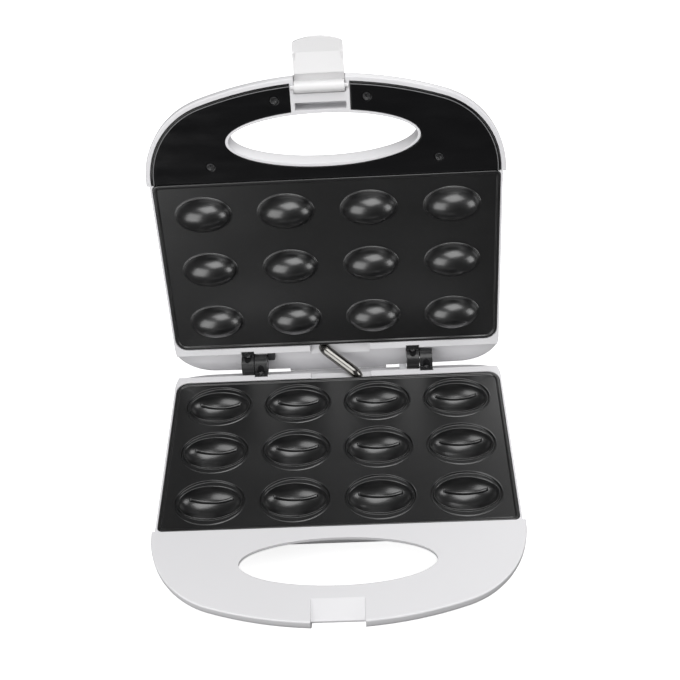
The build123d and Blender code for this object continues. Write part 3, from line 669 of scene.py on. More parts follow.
def frame_ring(rim, settings, inset, z):
    """The field's rim carried out to the plate's outline, a little inside it."""
    half = settings.plate_width / 2 - inset
    front = settings.plate_front + inset
    rear = settings.plate_rear - inset
    reach = max(x for x, y in rim)
    low = min(y for x, y in rim)
    high = max(y for x, y in rim)
    ring = []
    for x, y in rim:
        out_x = x * half / reach
        out_y = front + (y - low) * (rear - front) / (high - low)
        ahead = out_y < (front + rear) / 2
        toward = -1 if ahead else 1
        radius = settings.front_radius if ahead else settings.rear_radius
        radius = max(radius - inset, LEAST_CORNER)
        centre_x = half - radius
        centre_y = (front if ahead else rear) - toward * radius
        over_x = abs(out_x) - centre_x
        over_y = toward * (out_y - centre_y)
        if over_x > 0 and over_y > 0:
            length = math.hypot(over_x, over_y)
            out_x = math.copysign(centre_x + radius * over_x / length, out_x)
            out_y = centre_y + toward * radius * over_y / length
        ring.append((out_x, out_y, z))
    return ring


def plate_frame(settings):
    """The plate's border with its raised lip, and the flat between its cells."""
    rim = field_rim(settings)
    lip, height, sheet = settings.lip_width, settings.lip_height, settings.sheet
    # How far inside the outline, and how high: up onto the lip, over it and down the plate's edge
    outline = [
        (lip + 0.75, 0.0), (lip + 0.5, 0.0), (lip + 0.22, 0.08), (lip + 0.05, 0.3),
        (lip - 0.05, height - 0.3), (lip - 0.22, height - 0.08), (lip - 0.5, height),
        (lip - 0.7, height), (0.75, height), (0.5, height), (0.22, height - 0.08),
        (0.05, height - 0.3), (0.0, height - 0.5), (0.0, 0.0), (0.0, 0.4 - sheet),
        (0.2, 0.1 - sheet), (0.5, -sheet), (0.8, -sheet),
    ]
    rings = [at_level(rim, 0.0)]
    rings += [frame_ring(rim, settings, inset, z) for inset, z in outline]
    rings.append(at_level(rim, -sheet))
    points, faces = loft(rings, flip=True)
    border = points, [half for face in faces for half in halved(points, face)]
    flats = [field_strips(settings, *side) for side in ((0.0, False), (-sheet, True))]
    return joined([border] + flats)


@shared_group(
    "Mould Plate",
    "GeometryNodeTree",
    {
        "Cell": "Object", "Frame": "Object", "Columns": 4, "Rows": 3, "Column Pitch": 0.0532,
        "Row Pitch": 0.0395, "Rows Offset": 0.0, "Finish": "Material",
    },
    ("Plate",),
)
def mould_tree(build, give):
    """Lays one mould cell on a grid and closes the plate's frame round it."""
    counts = (give["Columns"], give["Rows"])
    pitches = (give["Column Pitch"], give["Row Pitch"])
    wide, deep = (
        build.math("MULTIPLY", build.math("SUBTRACT", count, 1.0), pitch)
        for count, pitch in zip(counts, pitches)
    )
    sizes = {"Size_X": wide, "Size_Y": deep, "Vertices_X": counts[0], "Vertices_Y": counts[1]}
    grid = build.geo("MeshGrid", **sizes)
    shift = build.node("ShaderNodeCombineXYZ", Y=give["Rows Offset"])
    moved = build.geo("SetPosition", Geometry=grid, Offset=shift)
    cell, border = build.shape(give["Cell"]), build.shape(give["Frame"])
    cells = build.geo("InstanceOnPoints", Points=moved, Instance=cell)
    whole = build.geo("JoinGeometry", Geometry=cells)
    build.feed(whole, "Geometry", border)
    real = build.geo("RealizeInstances", Geometry=whole)
    merged = build.geo("MergeByDistance", Geometry=real, Distance=0.00001)
    soft = build.geo("SetShadeSmooth", Geometry=merged)
    return (build.geo("SetMaterial", Geometry=soft, Material=give["Finish"]),)


def grown(name, tree, values, data=None):
    """Runs a Geometry Nodes tree, on a mesh or curve or none, and returns its result as a piece."""
    seedling = link(data or bpy.data.meshes.new(name), name + "_seed")
    modifier = seedling.modifiers.new("Grow", "NODES")
    modifier.node_group = tree
    items = tree.interface.items_tree
    sockets = {item.name: item.identifier for item in items if item.in_out == "INPUT"}
    for label, value in values.items():
        modifier[sockets[label]] = value
    result = evaluated(seedling)
    drop(seedling)
    result.name = name
    if not result.polygons:
        raise RuntimeError(f"{name}: the node tree gave no faces")
    return link(result, name)


def mould_plate(name, settings, parts, place, material):
    """Builds one plate from its cell's parts and sets it in place."""
    cell = link(mesh_of("mould_cell", *joined(parts)), "mould_cell")
    border = link(mesh_of("plate_frame", *plate_frame(settings)), "plate_frame")
    values = {
        "Cell": cell,
        "Frame": border,
        "Columns": settings.columns,
        "Rows": settings.rows,
        "Column Pitch": settings.column_pitch * MM,
        "Row Pitch": settings.row_pitch * MM,
        "Rows Offset": settings.rows_offset * MM,
        "Finish": material,
    }
    plate = grown(name, mould_tree(), values)
    drop(cell, border)
    settle(plate, place)
    return plate


# Screws

# The head as shares of its radius and height, and the shank as shares of its radius with levels
HEAD = (
    (0.0, 0.62), (0.5, 0.64), (0.68, 0.8), (0.8, 1.0),
    (0.92, 0.97), (1.0, 0.75), (1.0, 0.2), (1.0, 0.0),
)
SHANK = ((1.0, 0.0), (1.0, -4.5), (0.4, -6.0), (0.0, -6.0))
SCREW_SIDES = 32

# The cross recess: its arms as shares of the head's radius, its floor as a share of the height
ARM_LENGTH, ARM_WIDTH, RECESS_FLOOR = 0.62, 0.16, 0.35
# It widens from its floor to above the head
RECESS_TAPER, CUTTER_RISE = (0.55, 1.15), 0.5

# Where the screws sit, seen from each plate's own axes; the bottom cover's are driven upwards
COVER_SCREWS = ((28.1, -114.2), (71.4, -73.6))
COVER_SEAT = -0.2
LEAF_SEAT = -0.8
LEAF_SCREW_Y = 65.7
LEAF_SCREWS_X = (-61.5, 52.5)
BOTTOM_MIDDLE_Y, BOTTOM_SPREAD, BOTTOM_SEAT = -14.0, (66.0, 38.0), -35.0


def spun(profile, count):
    """Points and faces of a profile turned about Z, which starts and ends on that axis."""
    points = []
    rings = []
    for reach, level in profile:
        start = len(points)
        for index in range(count if reach else 1):
            turn = 2 * math.pi * index / count
            points.append((reach * math.cos(turn), reach * math.sin(turn), level))
        rings.append(range(start, len(points)))
    faces = []
    for upper, lower in zip(rings, rings[1:]):
        for index in range(count):
            after = (index + 1) % count
            corners = (upper, index), (lower, index), (lower, after), (upper, after)
            # A ring on the axis is a single point, so its two corners fall together
            faces.append(tuple(dict.fromkeys(ring[place % len(ring)] for ring, place in corners)))
    return points, faces


def cross_cutters(settings):
    """The two tapered bars that are cut from a screw's head as a cross."""
    arms = (settings.screw_head * ARM_LENGTH, settings.screw_head * ARM_WIDTH)
    levels = (settings.screw_height * RECESS_FLOOR, settings.screw_height + CUTTER_RISE)
    faces = [(3, 2, 1, 0), (4, 5, 6, 7), (0, 1, 5, 4), (1, 2, 6, 5), (2, 3, 7, 6), (3, 0, 4, 7)]
    cutters = []
    for x, y in (arms, arms[::-1]):
        points = []
        for level, share in zip(levels, RECESS_TAPER):
            for side_x, side_y in ((-1, -1), (1, -1), (1, 1), (-1, 1)):
                points.append((side_x * x * share, side_y * y, level))
        cutters.append(mesh_of("cross", points, faces))
    return cutters


def screw_master(settings):
    """A pan-head screw with its cross recess, its seat at z = 0, as one helper object."""
    radius, height, shank = settings.screw_head, settings.screw_height, settings.screw_shank
    profile = [(radius * reach, height * level) for reach, level in HEAD]
    profile += [(shank * reach, level) for reach, level in SHANK]
    body = link(mesh_of("screw_blank", *spun(profile, SCREW_SIDES)), "screw_master")
    for cutter_mesh in cross_cutters(settings):
        cutter = link(cutter_mesh, "cross")
        modifier = body.modifiers.new("Cross", "BOOLEAN")
        modifier.operation = "DIFFERENCE"
        modifier.solver = "EXACT"
        modifier.object = cutter
        cut = evaluated(body)
        body.modifiers.clear()
        body.data = cut
        drop(cutter)
    return body


@shared_group(
    "Screw Set",
    "GeometryNodeTree",
    {"Places": "Geometry", "Screw": "Object", "Seed": 7, "Finish": "Material"},
    ("Screws",),
)
def screw_tree(build, give):
    """One screw on each point, turned by chance but always alike."""
    screw = build.shape(give["Screw"])
    chance = {"Seed": give["Seed"], "in_3": 2 * math.pi}
    turn = build.node("FunctionNodeRandomValue", {"data_type": "FLOAT"}, **chance).outputs[1]
    spin = build.node("ShaderNodeCombineXYZ", Z=turn)
    laid = build.geo("InstanceOnPoints", Points=give["Places"], Instance=screw, Rotation=spin)
    real = build.geo("RealizeInstances", Geometry=laid)
    return (build.geo("SetMaterial", Geometry=real, Material=give["Finish"]),)


def screw_set(name, settings, places, place, material, seed):
    """A set of like screws, driven along -Z of the given place."""
    master = screw_master(settings)
    points = mesh_of(name + "_places", places, [])
    values = {"Screw": master, "Seed": seed, "Finish": material}
    piece = grown(name, screw_tree(), values, points)
    drop(master)
    settle(piece, place)
    return piece


# Round pieces along routes: the sleeve between base and lid, and the pale bead on the handle's
# cover, whose colour is a painted highlight along a step

# The sleeve leaves the lid and enters the base at these corners, and leans on both sides
LID_CORNER, LID_LEAN = Vector((-9.0, 63.5, 5.2)), Vector((0.0, 1.5, 22.0))
BASE_CORNER, BASE_LEAN = Vector((14.2, 63.5, -1.2)), Vector((0.0, 1.5, -22.0))
BEND_STEPS, SLEEVE_SIDES, BEAD_SIDES = 12, 40, 12

# The cover's oval opening, and how far from it and from the screws its contour is looked for
OPENING_MIDDLE_Y, OPENING_HALF, OPENING_CLEAR, SCREW_CLEAR = -87.4, (61.0, 18.8), 1.15, 4.0
# Points this far below the cover's face still count, and the bead's middle is this far above it
FACE_DEPTH, BEAD_RISE = 0.05, 0.03


@shared_group(
    "Sleeve",
    "GeometryNodeTree",
    {"Route": "Geometry", "Radius": 0.004, "Step": 0.0008, "Sides": 40, "Finish": "Material"},
    ("Sleeve",),
)
def sleeve_tree(build, give):
    """A round sleeve that follows its route, with its length and turn kept for the finish."""
    spline = build.geo("SplineParameter")
    fine = build.geo("ResampleCurve", {"mode": "LENGTH"}, Curve=give["Route"], Length=give["Step"])
    ring = build.geo(
        "CurvePrimitiveCircle", {"mode": "RADIUS"}, Resolution=give["Sides"], Radius=give["Radius"]
    )
    kept = []
    for curve, label, measure in ((fine, "Along", "Length"), (ring, "Round", "Factor")):
        node = build.geo("CaptureAttribute", {"domain": "POINT"}, Geometry=curve)
        node.capture_items.new("FLOAT", label)
        build.feed(node, label, spline.outputs[measure])
        kept.append(node)
    tube = build.geo("CurveToMesh", Curve=kept[0], Profile_Curve=kept[1], Fill_Caps=True)
    ways = {"X": kept[0].outputs["Along"], "Y": kept[1].outputs["Round"]}
    lay = build.node("ShaderNodeCombineXYZ", **ways)
    stored = {"data_type": "FLOAT_VECTOR", "domain": "POINT"}
    marked = build.geo("StoreNamedAttribute", stored, Geometry=tube, Name="lay", Value=lay)
    soft = build.geo("SetShadeSmooth", Geometry=marked)
    real = build.geo("RealizeInstances", Geometry=soft)
    return (build.geo("SetMaterial", Geometry=real, Material=give["Finish"]),)


def rounded_route(corners, radius):
    """A route through corners, each rounded by an arc of one radius."""
    route = [corners[0]]
    for before, corner, after in zip(corners, corners[1:], corners[2:]):
        back = (before - corner).normalized()
        onward = (after - corner).normalized()
        half_angle = back.angle(onward) / 2
        middle = corner + (back + onward).normalized() * radius / math.sin(half_angle)
        spoke = corner + back * radius / math.tan(half_angle) - middle
        axis = back.cross(onward).normalized()
        for index in range(BEND_STEPS + 1):
            turn = -(math.pi - 2 * half_angle) * index / BEND_STEPS
            route.append(middle + Matrix.Rotation(turn, 3, axis) @ spoke)
    route.append(corners[-1])
    return route


def along_routes(name, runs, radius, sides, material):
    """A round piece that follows open routes through lists of points."""
    curve = bpy.data.curves.new(name, "CURVE")
    curve.dimensions = "3D"
    for points in runs:
        spline = curve.splines.new("POLY")
        spline.points.add(len(points) - 1)
        for target, point in zip(spline.points, points):
            target.co = (*point, 1.0)
    values = {"Radius": radius, "Sides": sides, "Finish": material}
    return grown(name, sleeve_tree(), values, curve)


def cover_contours(place, settings):
    """Routes just inside the outer contour of the handle's cover, one on each side of the latch."""
    mesh = bmesh.new()
    mesh.from_mesh(frame["nodes"]["handle_inner_cover"].data)
    mesh.transform(place.inverted())
    points = [vert.co / MM for vert in mesh.verts]
    mesh.free()
    face = max(point.z for point in points)
    front = settings.bead_front
    hub = Vector((0.0, front))
    half_x, half_y = OPENING_HALF
    runs = []
    for side in (-1, 1):
        contour = {}
        for x, y, z in points:
            opening = (x / half_x) ** 2 + ((y - OPENING_MIDDLE_Y) / half_y) ** 2
            clear = all(math.dist((abs(x), y), screw) > SCREW_CLEAR for screw in COVER_SCREWS)
            on_side = x * side > settings.bead_latch and y < front
            if on_side and clear and opening > OPENING_CLEAR and face - z < FACE_DEPTH:
                contour[round(math.atan2(x * side, front - y), 3)] = Vector((x, y))
        ordered = [contour[angle] for angle in sorted(contour)]
        run = []
        befores, afters = ordered[:1] + ordered, ordered[1:] + ordered[-1:]
        for before, point, after in zip(befores, ordered, afters):
            inward = (after - before).orthogonal().normalized()
            if inward.dot(hub - point) < 0:
                inward.negate()
            spot = point + inward * settings.bead_inset
            run.append(place @ (Vector((spot.x, spot.y, face + BEAD_RISE)) * MM))
        runs.append(run)
    return runs


# Settings


def measure(label, text, value, **more):
    """A length in millimetres, or another number."""
    return FloatProperty(name=label, description=text, default=value, **more)


def whole(label, text, value, **more):
    """A whole number."""
    return IntProperty(name=label, description=text, default=value, **more)


def color(label, text, *value):
    """A colour."""
    return FloatVectorProperty(name=label, description=text, subtype="COLOR", default=value)


def factor(label, text, value):
    """A number from 0 to 1."""
    return measure(label, text, value, subtype="FACTOR", min=0, max=1)


class PlateSettings(bpy.types.PropertyGroup):
    """Sizes of the two mould plates, in millimetres, and their coating."""

    columns: whole("Columns", "Cups in a row", 4, min=1)
    rows: whole("Rows", "Rows of cups", 3, min=1)
    facets: whole("Facets", "Steps along each side of a cell", 24, min=8)
    plate_width: measure("Plate width", "Outer width of a plate, mm", 220.0)
    plate_front: measure("Plate front", "Front edge, from the middle, mm", -62.4)
    plate_rear: measure("Plate rear", "Rear edge, from the middle, mm", 59.5)
    front_radius: measure("Front radius", "Radius of the front corners, mm", 3.0)
    rear_radius: measure("Rear radius", "Radius of the rear corners, mm", 8.0)
    sheet: measure("Sheet", "Thickness of the plate's flat, mm", 2.5)
    lip_width: measure("Lip width", "Width of the raised lip, mm", 2.0)
    lip_height: measure("Lip height", "Height of the raised lip, mm", 0.8)
    column_pitch: measure("Column pitch", "Distance between columns, mm", 53.2)
    row_pitch: measure("Row pitch", "Distance between rows, mm", 39.5)
    rows_offset: measure("Rows offset", "Middle row's place front to back, mm", -1.45)
    cell_length: measure("Cell length", "Field given to one cup along X, mm", 49.2)
    cell_width: measure("Cell width", "Field given to one cup along Y, mm", 37.0)
    cup_length: measure("Cup length", "Inside length of a cup, mm", 39.5)
    cup_width: measure("Cup width", "Inside width of a cup, mm", 24.4)
    cup_depth: measure("Cup depth", "Inside depth of a cup, mm", 11.0)
    cup_wall: measure("Cup wall", "Wall of cups and domes, mm", 2.2)
    moat_length: measure("Moat length", "Length of the moat round a cup, mm", 43.4)
    moat_width: measure("Moat width", "Width of the moat round a cup, mm", 32.8)
    moat_depth: measure("Moat depth", "Depth of the moat, mm", 1.0)
    seam_place: measure("Seam place", "Distance of each ridge from the cup's middle, mm", 6.2)
    seam_length: measure("Seam length", "Length of the ridges in a cup, mm", 28.0)
    seam_width: measure("Seam width", "Width of those ridges, mm", 1.6)
    seam_height: measure("Seam height", "Height of those ridges, mm", 1.0)
    dome_length: measure("Dome length", "Length of a dome, mm", 35.0)
    dome_width: measure("Dome width", "Width of a dome, mm", 22.6)
    step_width: measure("Step width", "Width of the step round a dome, mm", 0.75)
    step_height: measure("Step height", "Height of that step, mm", 0.35)
    coating_color: color("Coating color", "Colour of the non-stick coating", 0.0035, 0.0035, 0.0038)
    coating_roughness: factor("Coating roughness", "Roughness of the coating", 0.36)
    coating_ior: measure("Coating IOR", "Strength of its reflections", 1.6, min=1)
    coating_coat: measure("Coating coat", "Weight of the sharper gloss over it", 0.9)
    coating_shine: measure("Coating shine", "Roughness of that sharper gloss", 0.22)


class ShellSettings(bpy.types.PropertyGroup):
    """Colours of the shells, the handle's cover, the latch and the hinges."""

    shell_color: color("Shell color", "Colour of base and lid", 0.725, 0.72, 0.735)
    shell_roughness: factor("Shell roughness", "Roughness of base and lid", 0.34)
    cover_color: color("Cover color", "Colour of the handle's inner cover", 0.006, 0.006, 0.0065)
    # The bead's pale grey is a painted highlight, standing in for the light that a step along the
    # cover's contour catches
    highlight_bead_color: color("Highlight bead color", "Colour of the bead on that cover", 0.17, 0.17, 0.175)
    bead_radius: measure("Bead radius", "Radius of that bead, mm", 0.3)
    bead_inset: measure("Bead inset", "From the cover's contour to the bead, mm", 1.2)
    bead_front: measure("Bead front", "Where the bead stops at the plate, mm", -62.5)
    bead_latch: measure("Bead latch", "Where it stops beside the latch, mm", 17.0)
    latch_color: color("Latch color", "Colour of the latch", 0.765, 0.76, 0.765)
    hinge_color: color("Hinge color", "Colour of the hinges' paint", 0.012, 0.012, 0.013)


class HardwareSettings(bpy.types.PropertyGroup):
    """Sizes of screws and sleeve, in millimetres."""

    screw_head: measure("Screw head", "Radius of a screw's head, mm", 2.4)
    screw_height: measure("Screw height", "Height of a screw's head, mm", 1.6)
    screw_shank: measure("Screw shank", "Radius of a screw's shank, mm", 1.4)
    screw_seed: whole("Screw seed", "Seed for how the screws are turned", 11)
    sleeve_radius: measure("Sleeve radius", "Radius of the sleeve, mm", 3.7)
    sleeve_bend: measure("Sleeve bend", "Radius of the sleeve's two bends, mm", 6.5)
    sleeve_color: color("Sleeve color", "Colour of the sleeve", 0.2, 0.195, 0.185)


class StageSettings(bpy.types.PropertyGroup):
    """Camera, lamps and floor."""

    lens: measure("Lens", "Focal length on a 36 mm sensor, mm", 56.19)
    camera_place: FloatVectorProperty(
        name="Camera place",
        description="Camera seen from the lower plate's middle, mm",
        default=(28.73, -434.43, 535.10),
    )
    azimuth: measure("Azimuth", "Camera's turn round the object, degrees", 2.878)
    elevation: measure("Elevation", "Camera's height angle, degrees", 45.202)
    roll: measure("Roll", "Camera's roll, degrees", -4.392)
    left_power: measure("Left power", "Power of the left softbox, W", 9.0)
    top_power: measure("Top power", "Power of the top softbox, W", 9.2)
    right_power: measure("Right power", "Power of the right softbox, W", 5.0)
    back_power: measure("Back power", "Power of the softbox behind, W", 6.5)
    ambient: measure("Ambient", "Brightness of the surroundings", 0.25)
    mirrored: measure("Mirrored", "Their brightness in reflections", 0.1)
    floor_bounce: measure("Floor bounce", "How much the floor lights the cooker", 0.07)
    floor_glow: measure("Floor glow", "Extra brightness of the floor to the camera", 0.75)


# Operators, one for each piece or group of like pieces


class COOKER_OT_shells(bpy.types.Operator):
    """Finish the white shells of base and lid, and the bottom cover"""

    bl_idname = "cooker.shells"
    bl_label = "Shells"

    def execute(self, context):
        white = white_shell(context.scene.cooker_shells)
        paint(white, "base_housing", "lid_housing", "base_bottom_cover")
        return {"FINISHED"}


class COOKER_OT_lower_plate(bpy.types.Operator):
    """Build the lower plate with its walnut cups"""

    bl_idname = "cooker.lower_plate"
    bl_label = "Lower plate"

    def execute(self, context):
        settings = context.scene.cooker_plates
        coat = nonstick(settings, "Lower coating")
        plate = mould_plate("lower_plate_mould", settings, cup_cell(settings), BASE_PLACE, coat)
        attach(plate, "base")
        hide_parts("lower_plate")
        return {"FINISHED"}


class COOKER_OT_upper_plate(bpy.types.Operator):
    """Build the upper plate with its domes"""

    bl_idname = "cooker.upper_plate"
    bl_label = "Upper plate"

    def execute(self, context):
        settings = context.scene.cooker_plates
        coat = nonstick(settings, "Upper coating")
        plate = mould_plate("upper_plate_mould", settings, dome_cell(settings), LID_PLACE, coat)
        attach(plate, "lid")
        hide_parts("upper_plate")
        return {"FINISHED"}


class COOKER_OT_inner_cover(bpy.types.Operator):
    """Finish the glossy cover in the handle and lay a pale bead on it, a painted highlight along
    its contour
    """

    bl_idname = "cooker.inner_cover"
    bl_label = "Handle cover"

    def execute(self, context):
        settings = context.scene.cooker_shells
        paint(gloss_black(settings), "handle_inner_cover")
        runs = cover_contours(LID_PLACE, settings)
        # A pale bead on the black cover: a painted highlight where a step of the cover catches the
        # light
        edge = plain_moulding("Cover bead", settings.highlight_bead_color, 0.22, 0.03)
        bead = along_routes("cover_bead", runs, settings.bead_radius * MM, BEAD_SIDES, edge)
        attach(bead, "lid")
        return {"FINISHED"}


class COOKER_OT_latch(bpy.types.Operator):
    """Finish the latch and its axle"""

    bl_idname = "cooker.latch"
    bl_label = "Latch"

    def execute(self, context):
        paint(latch_white(context.scene.cooker_shells), "latch_clip", "latch_pin")
        return {"FINISHED"}


class COOKER_OT_hinges(bpy.types.Operator):
    """Finish hinge leaves, pins and plate clips"""

    bl_idname = "cooker.hinges"
    bl_label = "Hinges"

    def execute(self, context):
        black = painted_black("Hinge paint", context.scene.cooker_shells.hinge_color)
        steel = bare_metal("Hinge pin steel", (0.55, 0.55, 0.57), 0.3)
        for side in ("left", "right"):
            paint(black, f"base_hinge_leaf_{side}", f"lid_hinge_leaf_{side}")
            paint(steel, f"hinge_pin_{side}")
        paint(plain_moulding("Dark clip", (0.02, 0.02, 0.022), 0.45), "lid_plate_clip")
        paint(plain_moulding("Pale clip", (0.52, 0.52, 0.54), 0.4), "base_plate_clip")
        return {"FINISHED"}


class COOKER_OT_screws(bpy.types.Operator):
    """Set the screws of handle cover, hinges and bottom cover"""

    bl_idname = "cooker.screws"
    bl_label = "Screws"

    def execute(self, context):
        settings = context.scene.cooker_hardware
        # The screws' edges are lightened hard: worn paint, and a painted highlight on the rims of
        # their heads
        dark = painted_black("Blackened screw", (0.014, 0.014, 0.015), 0.95)
        zinc = bare_metal("Zinc plating", (0.62, 0.62, 0.64), 0.28)
        cover = [(side * x, y, COVER_SEAT) for side in (-1, 1) for x, y in COVER_SCREWS]
        lid_leaves = [(x, LEAF_SCREW_Y, LEAF_SEAT) for x in LEAF_SCREWS_X]
        base_leaves = [(-x, LEAF_SCREW_Y, LEAF_SEAT) for x in reversed(LEAF_SCREWS_X)]
        out_x, out_y = BOTTOM_SPREAD
        corners = [(side_x, side_y) for side_x in (-1, 1) for side_y in (-1, 1)]
        under = [(x * out_x, BOTTOM_MIDDLE_Y + y * out_y, 0.0) for x, y in corners]
        lowered = Matrix.Translation((0.0, 0.0, BOTTOM_SEAT * MM))
        below = BASE_PLACE @ lowered @ Matrix.Rotation(math.pi, 4, "X")
        black = (dark, "screw_dark")
        sets = (
            ("cover_screws", cover, LID_PLACE, "lid", "handle_cover_screws", *black),
            ("lid_leaf_screws", lid_leaves, LID_PLACE, "lid", "lid_hinge_screws", *black),
            ("base_leaf_screws", base_leaves, BASE_PLACE, "base", "base_hinge_screws", *black),
            ("bottom_screws", under, below, "base", "bottom_cover_screws", zinc, "screw_zinc"),
        )
        for index, (name, places, place, body, node, material, slot) in enumerate(sets):
            seed = settings.screw_seed + index
            piece = screw_set(name, settings, places, place, material, seed)
            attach(piece, body)
            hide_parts(node)
        paint(zinc, "lower_plate_screws", "upper_plate_screws")
        return {"FINISHED"}


class COOKER_OT_sleeve(bpy.types.Operator):
    """Build the sleeve that carries the wires from base to lid"""

    bl_idname = "cooker.sleeve"
    bl_label = "Sleeve"

    def execute(self, context):
        settings = context.scene.cooker_hardware
        lid = (LID_CORNER + LID_LEAN, LID_CORNER)
        base = (BASE_CORNER, BASE_CORNER + BASE_LEAN)
        lid_inner, lid_outer = (SWING @ (PLATE + point * MM) for point in lid)
        base_outer, base_inner = (PLATE + point * MM for point in base)
        corners = [lid_inner, lid_outer, base_outer, base_inner]
        runs = [rounded_route(corners, settings.sleeve_bend * MM)]
        silver = sleeve_silver(settings.sleeve_color)
        radius = settings.sleeve_radius * MM
        piece = along_routes("conduit_sleeve", runs, radius, SLEEVE_SIDES, silver)
        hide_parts("link_conduit")
        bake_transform(piece)
        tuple(base_outer)
        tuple(lid_outer)
        return {"FINISHED"}


def coat(*finishes):
    """Gives solids their finishes: the solids, the maker, its name, colour and roughness."""
    for nodes, maker, *values in finishes:
        paint(maker(*values), *nodes)


class COOKER_OT_underside(bpy.types.Operator):
    """Finish feet and mains inlet"""

    bl_idname = "cooker.underside"
    bl_label = "Underside"

    def execute(self, context):
        feet = ("foot_front_left", "foot_front_right", "foot_rear_left", "foot_rear_right")
        coat(
            (feet, plain_moulding, "Black rubber", (0.02, 0.02, 0.02), 0.7, 0.25),
            (("cord_gland",), plain_moulding, "Black nylon", (0.018, 0.018, 0.018), 0.5),
        )
        return {"FINISHED"}


class COOKER_OT_electrics(bpy.types.Operator):
    """Finish heaters, heat shields, thermostat, fuse and terminals"""

    bl_idname = "cooker.electrics"
    bl_label = "Electrics"

    def execute(self, context):
        heaters = ("lower_heater", "upper_heater")
        shields = ("lower_reflector", "upper_reflector")
        coat(
            (heaters, bare_metal, "Heater tube", (0.36, 0.33, 0.30), 0.35, 0.6, 1.15),
            (shields, bare_metal, "Bright sheet", (0.78, 0.78, 0.79), 0.22),
            (("thermostat",), plain_moulding, "Brown phenolic", (0.20, 0.09, 0.04), 0.4),
            (("thermal_fuse",), bare_metal, "Fuse can", (0.6, 0.6, 0.6), 0.3),
            (("terminal_block",), plain_moulding, "Cream nylon", (0.72, 0.68, 0.56), 0.45),
        )
        return {"FINISHED"}


class COOKER_OT_lamps(bpy.types.Operator):
    """Finish the pilot lamps and their holder"""

    bl_idname = "cooker.lamps"
    bl_label = "Pilot lamps"

    def execute(self, context):
        coat(
            (("power_lamp",), pilot_lens, "Red lens", (0.75, 0.05, 0.03)),
            (("ready_lamp",), pilot_lens, "Green lens", (0.06, 0.5, 0.12)),
            (("lamp_holder",), plain_moulding, "Holder plastic", (0.1, 0.1, 0.1), 0.5),
        )
        return {"FINISHED"}


# Stage, in metres: what the softboxes look at, and how each stands

AIM = PLATE + Vector((0.0, 0.03, 0.06))
# Name, direction, distance, width, height, and the setting with its power
SOFTBOXES = (
    ("left_softbox", (-0.595, -0.726, 0.338), 1.2, 0.95, 1.05, "left_power"),
    ("top_softbox", (0.157, -0.22, 0.963), 1.2, 0.95, 0.85, "top_power"),
    ("right_softbox", (0.925, -0.318, 0.214), 1.3, 0.6, 0.8, "right_power"),
    ("back_softbox", (0.25, 0.87, 0.42), 1.3, 1.1, 0.9, "back_power"),
)
SENSOR_WIDTH, CLIP_START, CLIP_END = 36.0, 0.01, 50.0
WHITE = (1.0, 1.0, 1.0, 1.0)
FLOOR_REACH, FLOOR_ROUGHNESS, FLOOR_TONE = 6.0, 0.9, 0.86


def softbox(name, direction, distance, width, height, power):
    """A rectangular lamp that looks at the plates from one direction."""
    lamp = bpy.data.lights.new(name, "AREA")
    lamp.shape = "RECTANGLE"
    lamp.size = width
    lamp.size_y = height
    lamp.energy = power
    piece = link(lamp, name)
    toward = Vector(direction).normalized()
    piece.location = AIM + toward * distance
    piece.rotation_mode = "QUATERNION"
    piece.rotation_quaternion = toward.to_track_quat("Z", "Y")


def seen_white(build, glow):
    """A factor above 0 only for rays that should find the plain white background."""
    path = build.node("ShaderNodeLightPath").outputs
    seen = build.math("MAXIMUM", path["Is Camera Ray"], path["Is Transmission Ray"])
    return build.math("MULTIPLY", seen, glow)


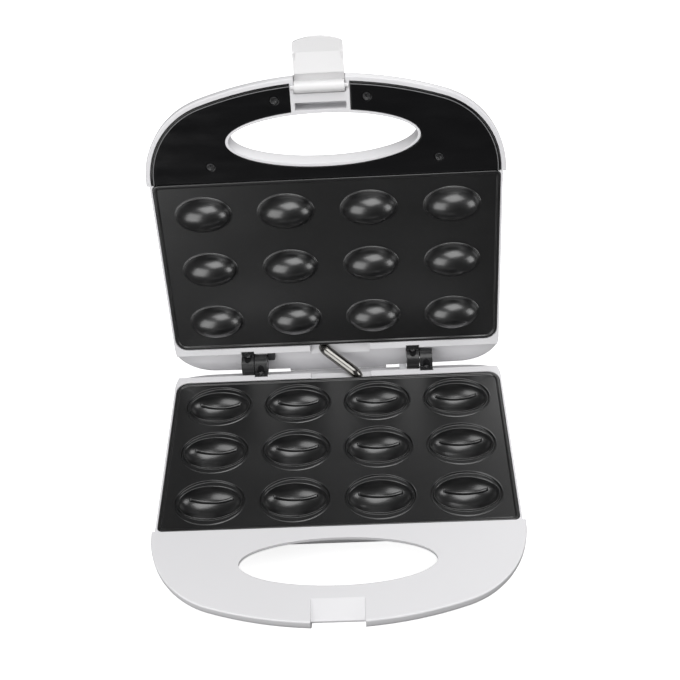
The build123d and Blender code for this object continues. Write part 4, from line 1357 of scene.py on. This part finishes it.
class COOKER_OT_stage(bpy.types.Operator):
    """Set camera, floor, surroundings and softboxes"""

    bl_idname = "cooker.stage"
    bl_label = "Stage"

    def execute(self, context):
        settings = context.scene.cooker_stage
        self.camera(context, settings)
        self.floor(settings)
        self.surroundings(context, settings)
        for *stand, power in SOFTBOXES:
            softbox(*stand, getattr(settings, power))
        context.scene.view_settings.view_transform = "Standard"
        return {"FINISHED"}

    def camera(self, context, settings):
        """The camera of the photograph, with its slight roll."""
        angles = (settings.azimuth, settings.elevation, settings.roll)
        azimuth, elevation, roll = (math.radians(angle) for angle in angles)
        flat = math.cos(elevation)
        back = Vector((math.sin(azimuth) * flat, -math.cos(azimuth) * flat, math.sin(elevation)))
        right = (-back).cross(Vector((0.0, 0.0, 1.0))).normalized()
        up = right.cross(-back)
        rolled_right = right * math.cos(roll) + up * math.sin(roll)
        rolled_up = up * math.cos(roll) - right * math.sin(roll)
        data = bpy.data.cameras.new("camera")
        data.lens = settings.lens
        data.sensor_width = SENSOR_WIDTH
        data.clip_start = CLIP_START
        data.clip_end = CLIP_END
        camera = link(data, "camera")
        turn = Matrix((rolled_right, rolled_up, back)).transposed().to_4x4()
        place = Matrix.Translation(PLATE + Vector(settings.camera_place) * MM)
        camera.matrix_world = place @ turn
        context.scene.camera = camera

    def floor(self, settings):
        """A plain pale floor that still takes the cooker's shadow."""
        sides = ((-1, -1), (1, -1), (1, 1), (-1, 1))
        corners = [(x, y, 0.0) for x, y in sides]
        floor = link(mesh_of("floor", corners, [(0, 1, 2, 3)], FLOOR_REACH), "floor")
        finish = Finish("Pale floor", WHITE, FLOOR_ROUGHNESS)
        glow = seen_white(finish.build, settings.floor_glow)
        finish.put("Emission Color", WHITE)
        finish.put("Emission Strength", glow)
        levels = (0.0, settings.floor_glow, settings.floor_bounce, FLOOR_TONE)
        finish.put("Base Color", finish.build.span(glow, *levels))
        floor.data.materials.append(finish.material)

    def surroundings(self, context, settings):
        """Even pale surroundings, plain white to the camera."""
        world = bpy.data.worlds.new("surroundings")
        world.use_nodes = True
        build = Tree(world.node_tree)
        shade = world.node_tree.nodes["Background"]
        white = seen_white(build, 1.0)
        mirror = build.node("ShaderNodeLightPath").outputs["Is Glossy Ray"]
        contrast = settings.mirrored - settings.ambient
        level = build.math("MULTIPLY_ADD", mirror, contrast, settings.ambient)
        build.feed(shade, "Color", WHITE)
        build.feed(shade, "Strength", build.math("MAXIMUM", white, level))
        context.scene.world = world


class COOKER_PT_panel(bpy.types.Panel):
    """Lists the cooker's pieces and their settings"""

    bl_label = "Walnut cookie maker"
    bl_idname = "COOKER_PT_panel"
    bl_space_type = "VIEW_3D"
    bl_region_type = "UI"
    bl_category = "Cooker"

    def draw(self, context):
        for group, kind, operators in LAYOUT:
            box = self.layout.box()
            settings = getattr(context.scene, group)
            for name in kind.__annotations__:
                box.prop(settings, name)
            for operator in operators:
                box.operator(operator.bl_idname)


# Each group of settings with the operators it is for, in the order in which they run
SHELLS = (COOKER_OT_shells, COOKER_OT_inner_cover, COOKER_OT_latch, COOKER_OT_hinges)
PLATES = (COOKER_OT_lower_plate, COOKER_OT_upper_plate)
INSIDE = (COOKER_OT_underside, COOKER_OT_electrics, COOKER_OT_lamps)
LAYOUT = (
    ("cooker_stage", StageSettings, (COOKER_OT_stage,)),
    ("cooker_shells", ShellSettings, SHELLS),
    ("cooker_plates", PlateSettings, PLATES),
    ("cooker_hardware", HardwareSettings, (COOKER_OT_screws, COOKER_OT_sleeve) + INSIDE),
)
OPERATORS = tuple(operator for *group, operators in LAYOUT for operator in operators)


def register():
    """Registers settings, operators and panel."""
    for name, kind, operators in LAYOUT:
        bpy.utils.register_class(kind)
        setattr(bpy.types.Scene, name, PointerProperty(type=kind))
    for operator in OPERATORS:
        bpy.utils.register_class(operator)
    bpy.utils.register_class(COOKER_PT_panel)


def unregister():
    """Takes them away again."""
    bpy.utils.unregister_class(COOKER_PT_panel)
    for operator in reversed(OPERATORS):
        bpy.utils.unregister_class(operator)
    for name, kind, operators in reversed(LAYOUT):
        delattr(bpy.types.Scene, name)
        bpy.utils.unregister_class(kind)


def main():
    """Builds everything."""
    register()
    for operator in OPERATORS:
        group, name = operator.bl_idname.split(".")
        getattr(getattr(bpy.ops, group), name)()
    bpy.context.view_layer.update()


if __name__ == "__main__":
    main()
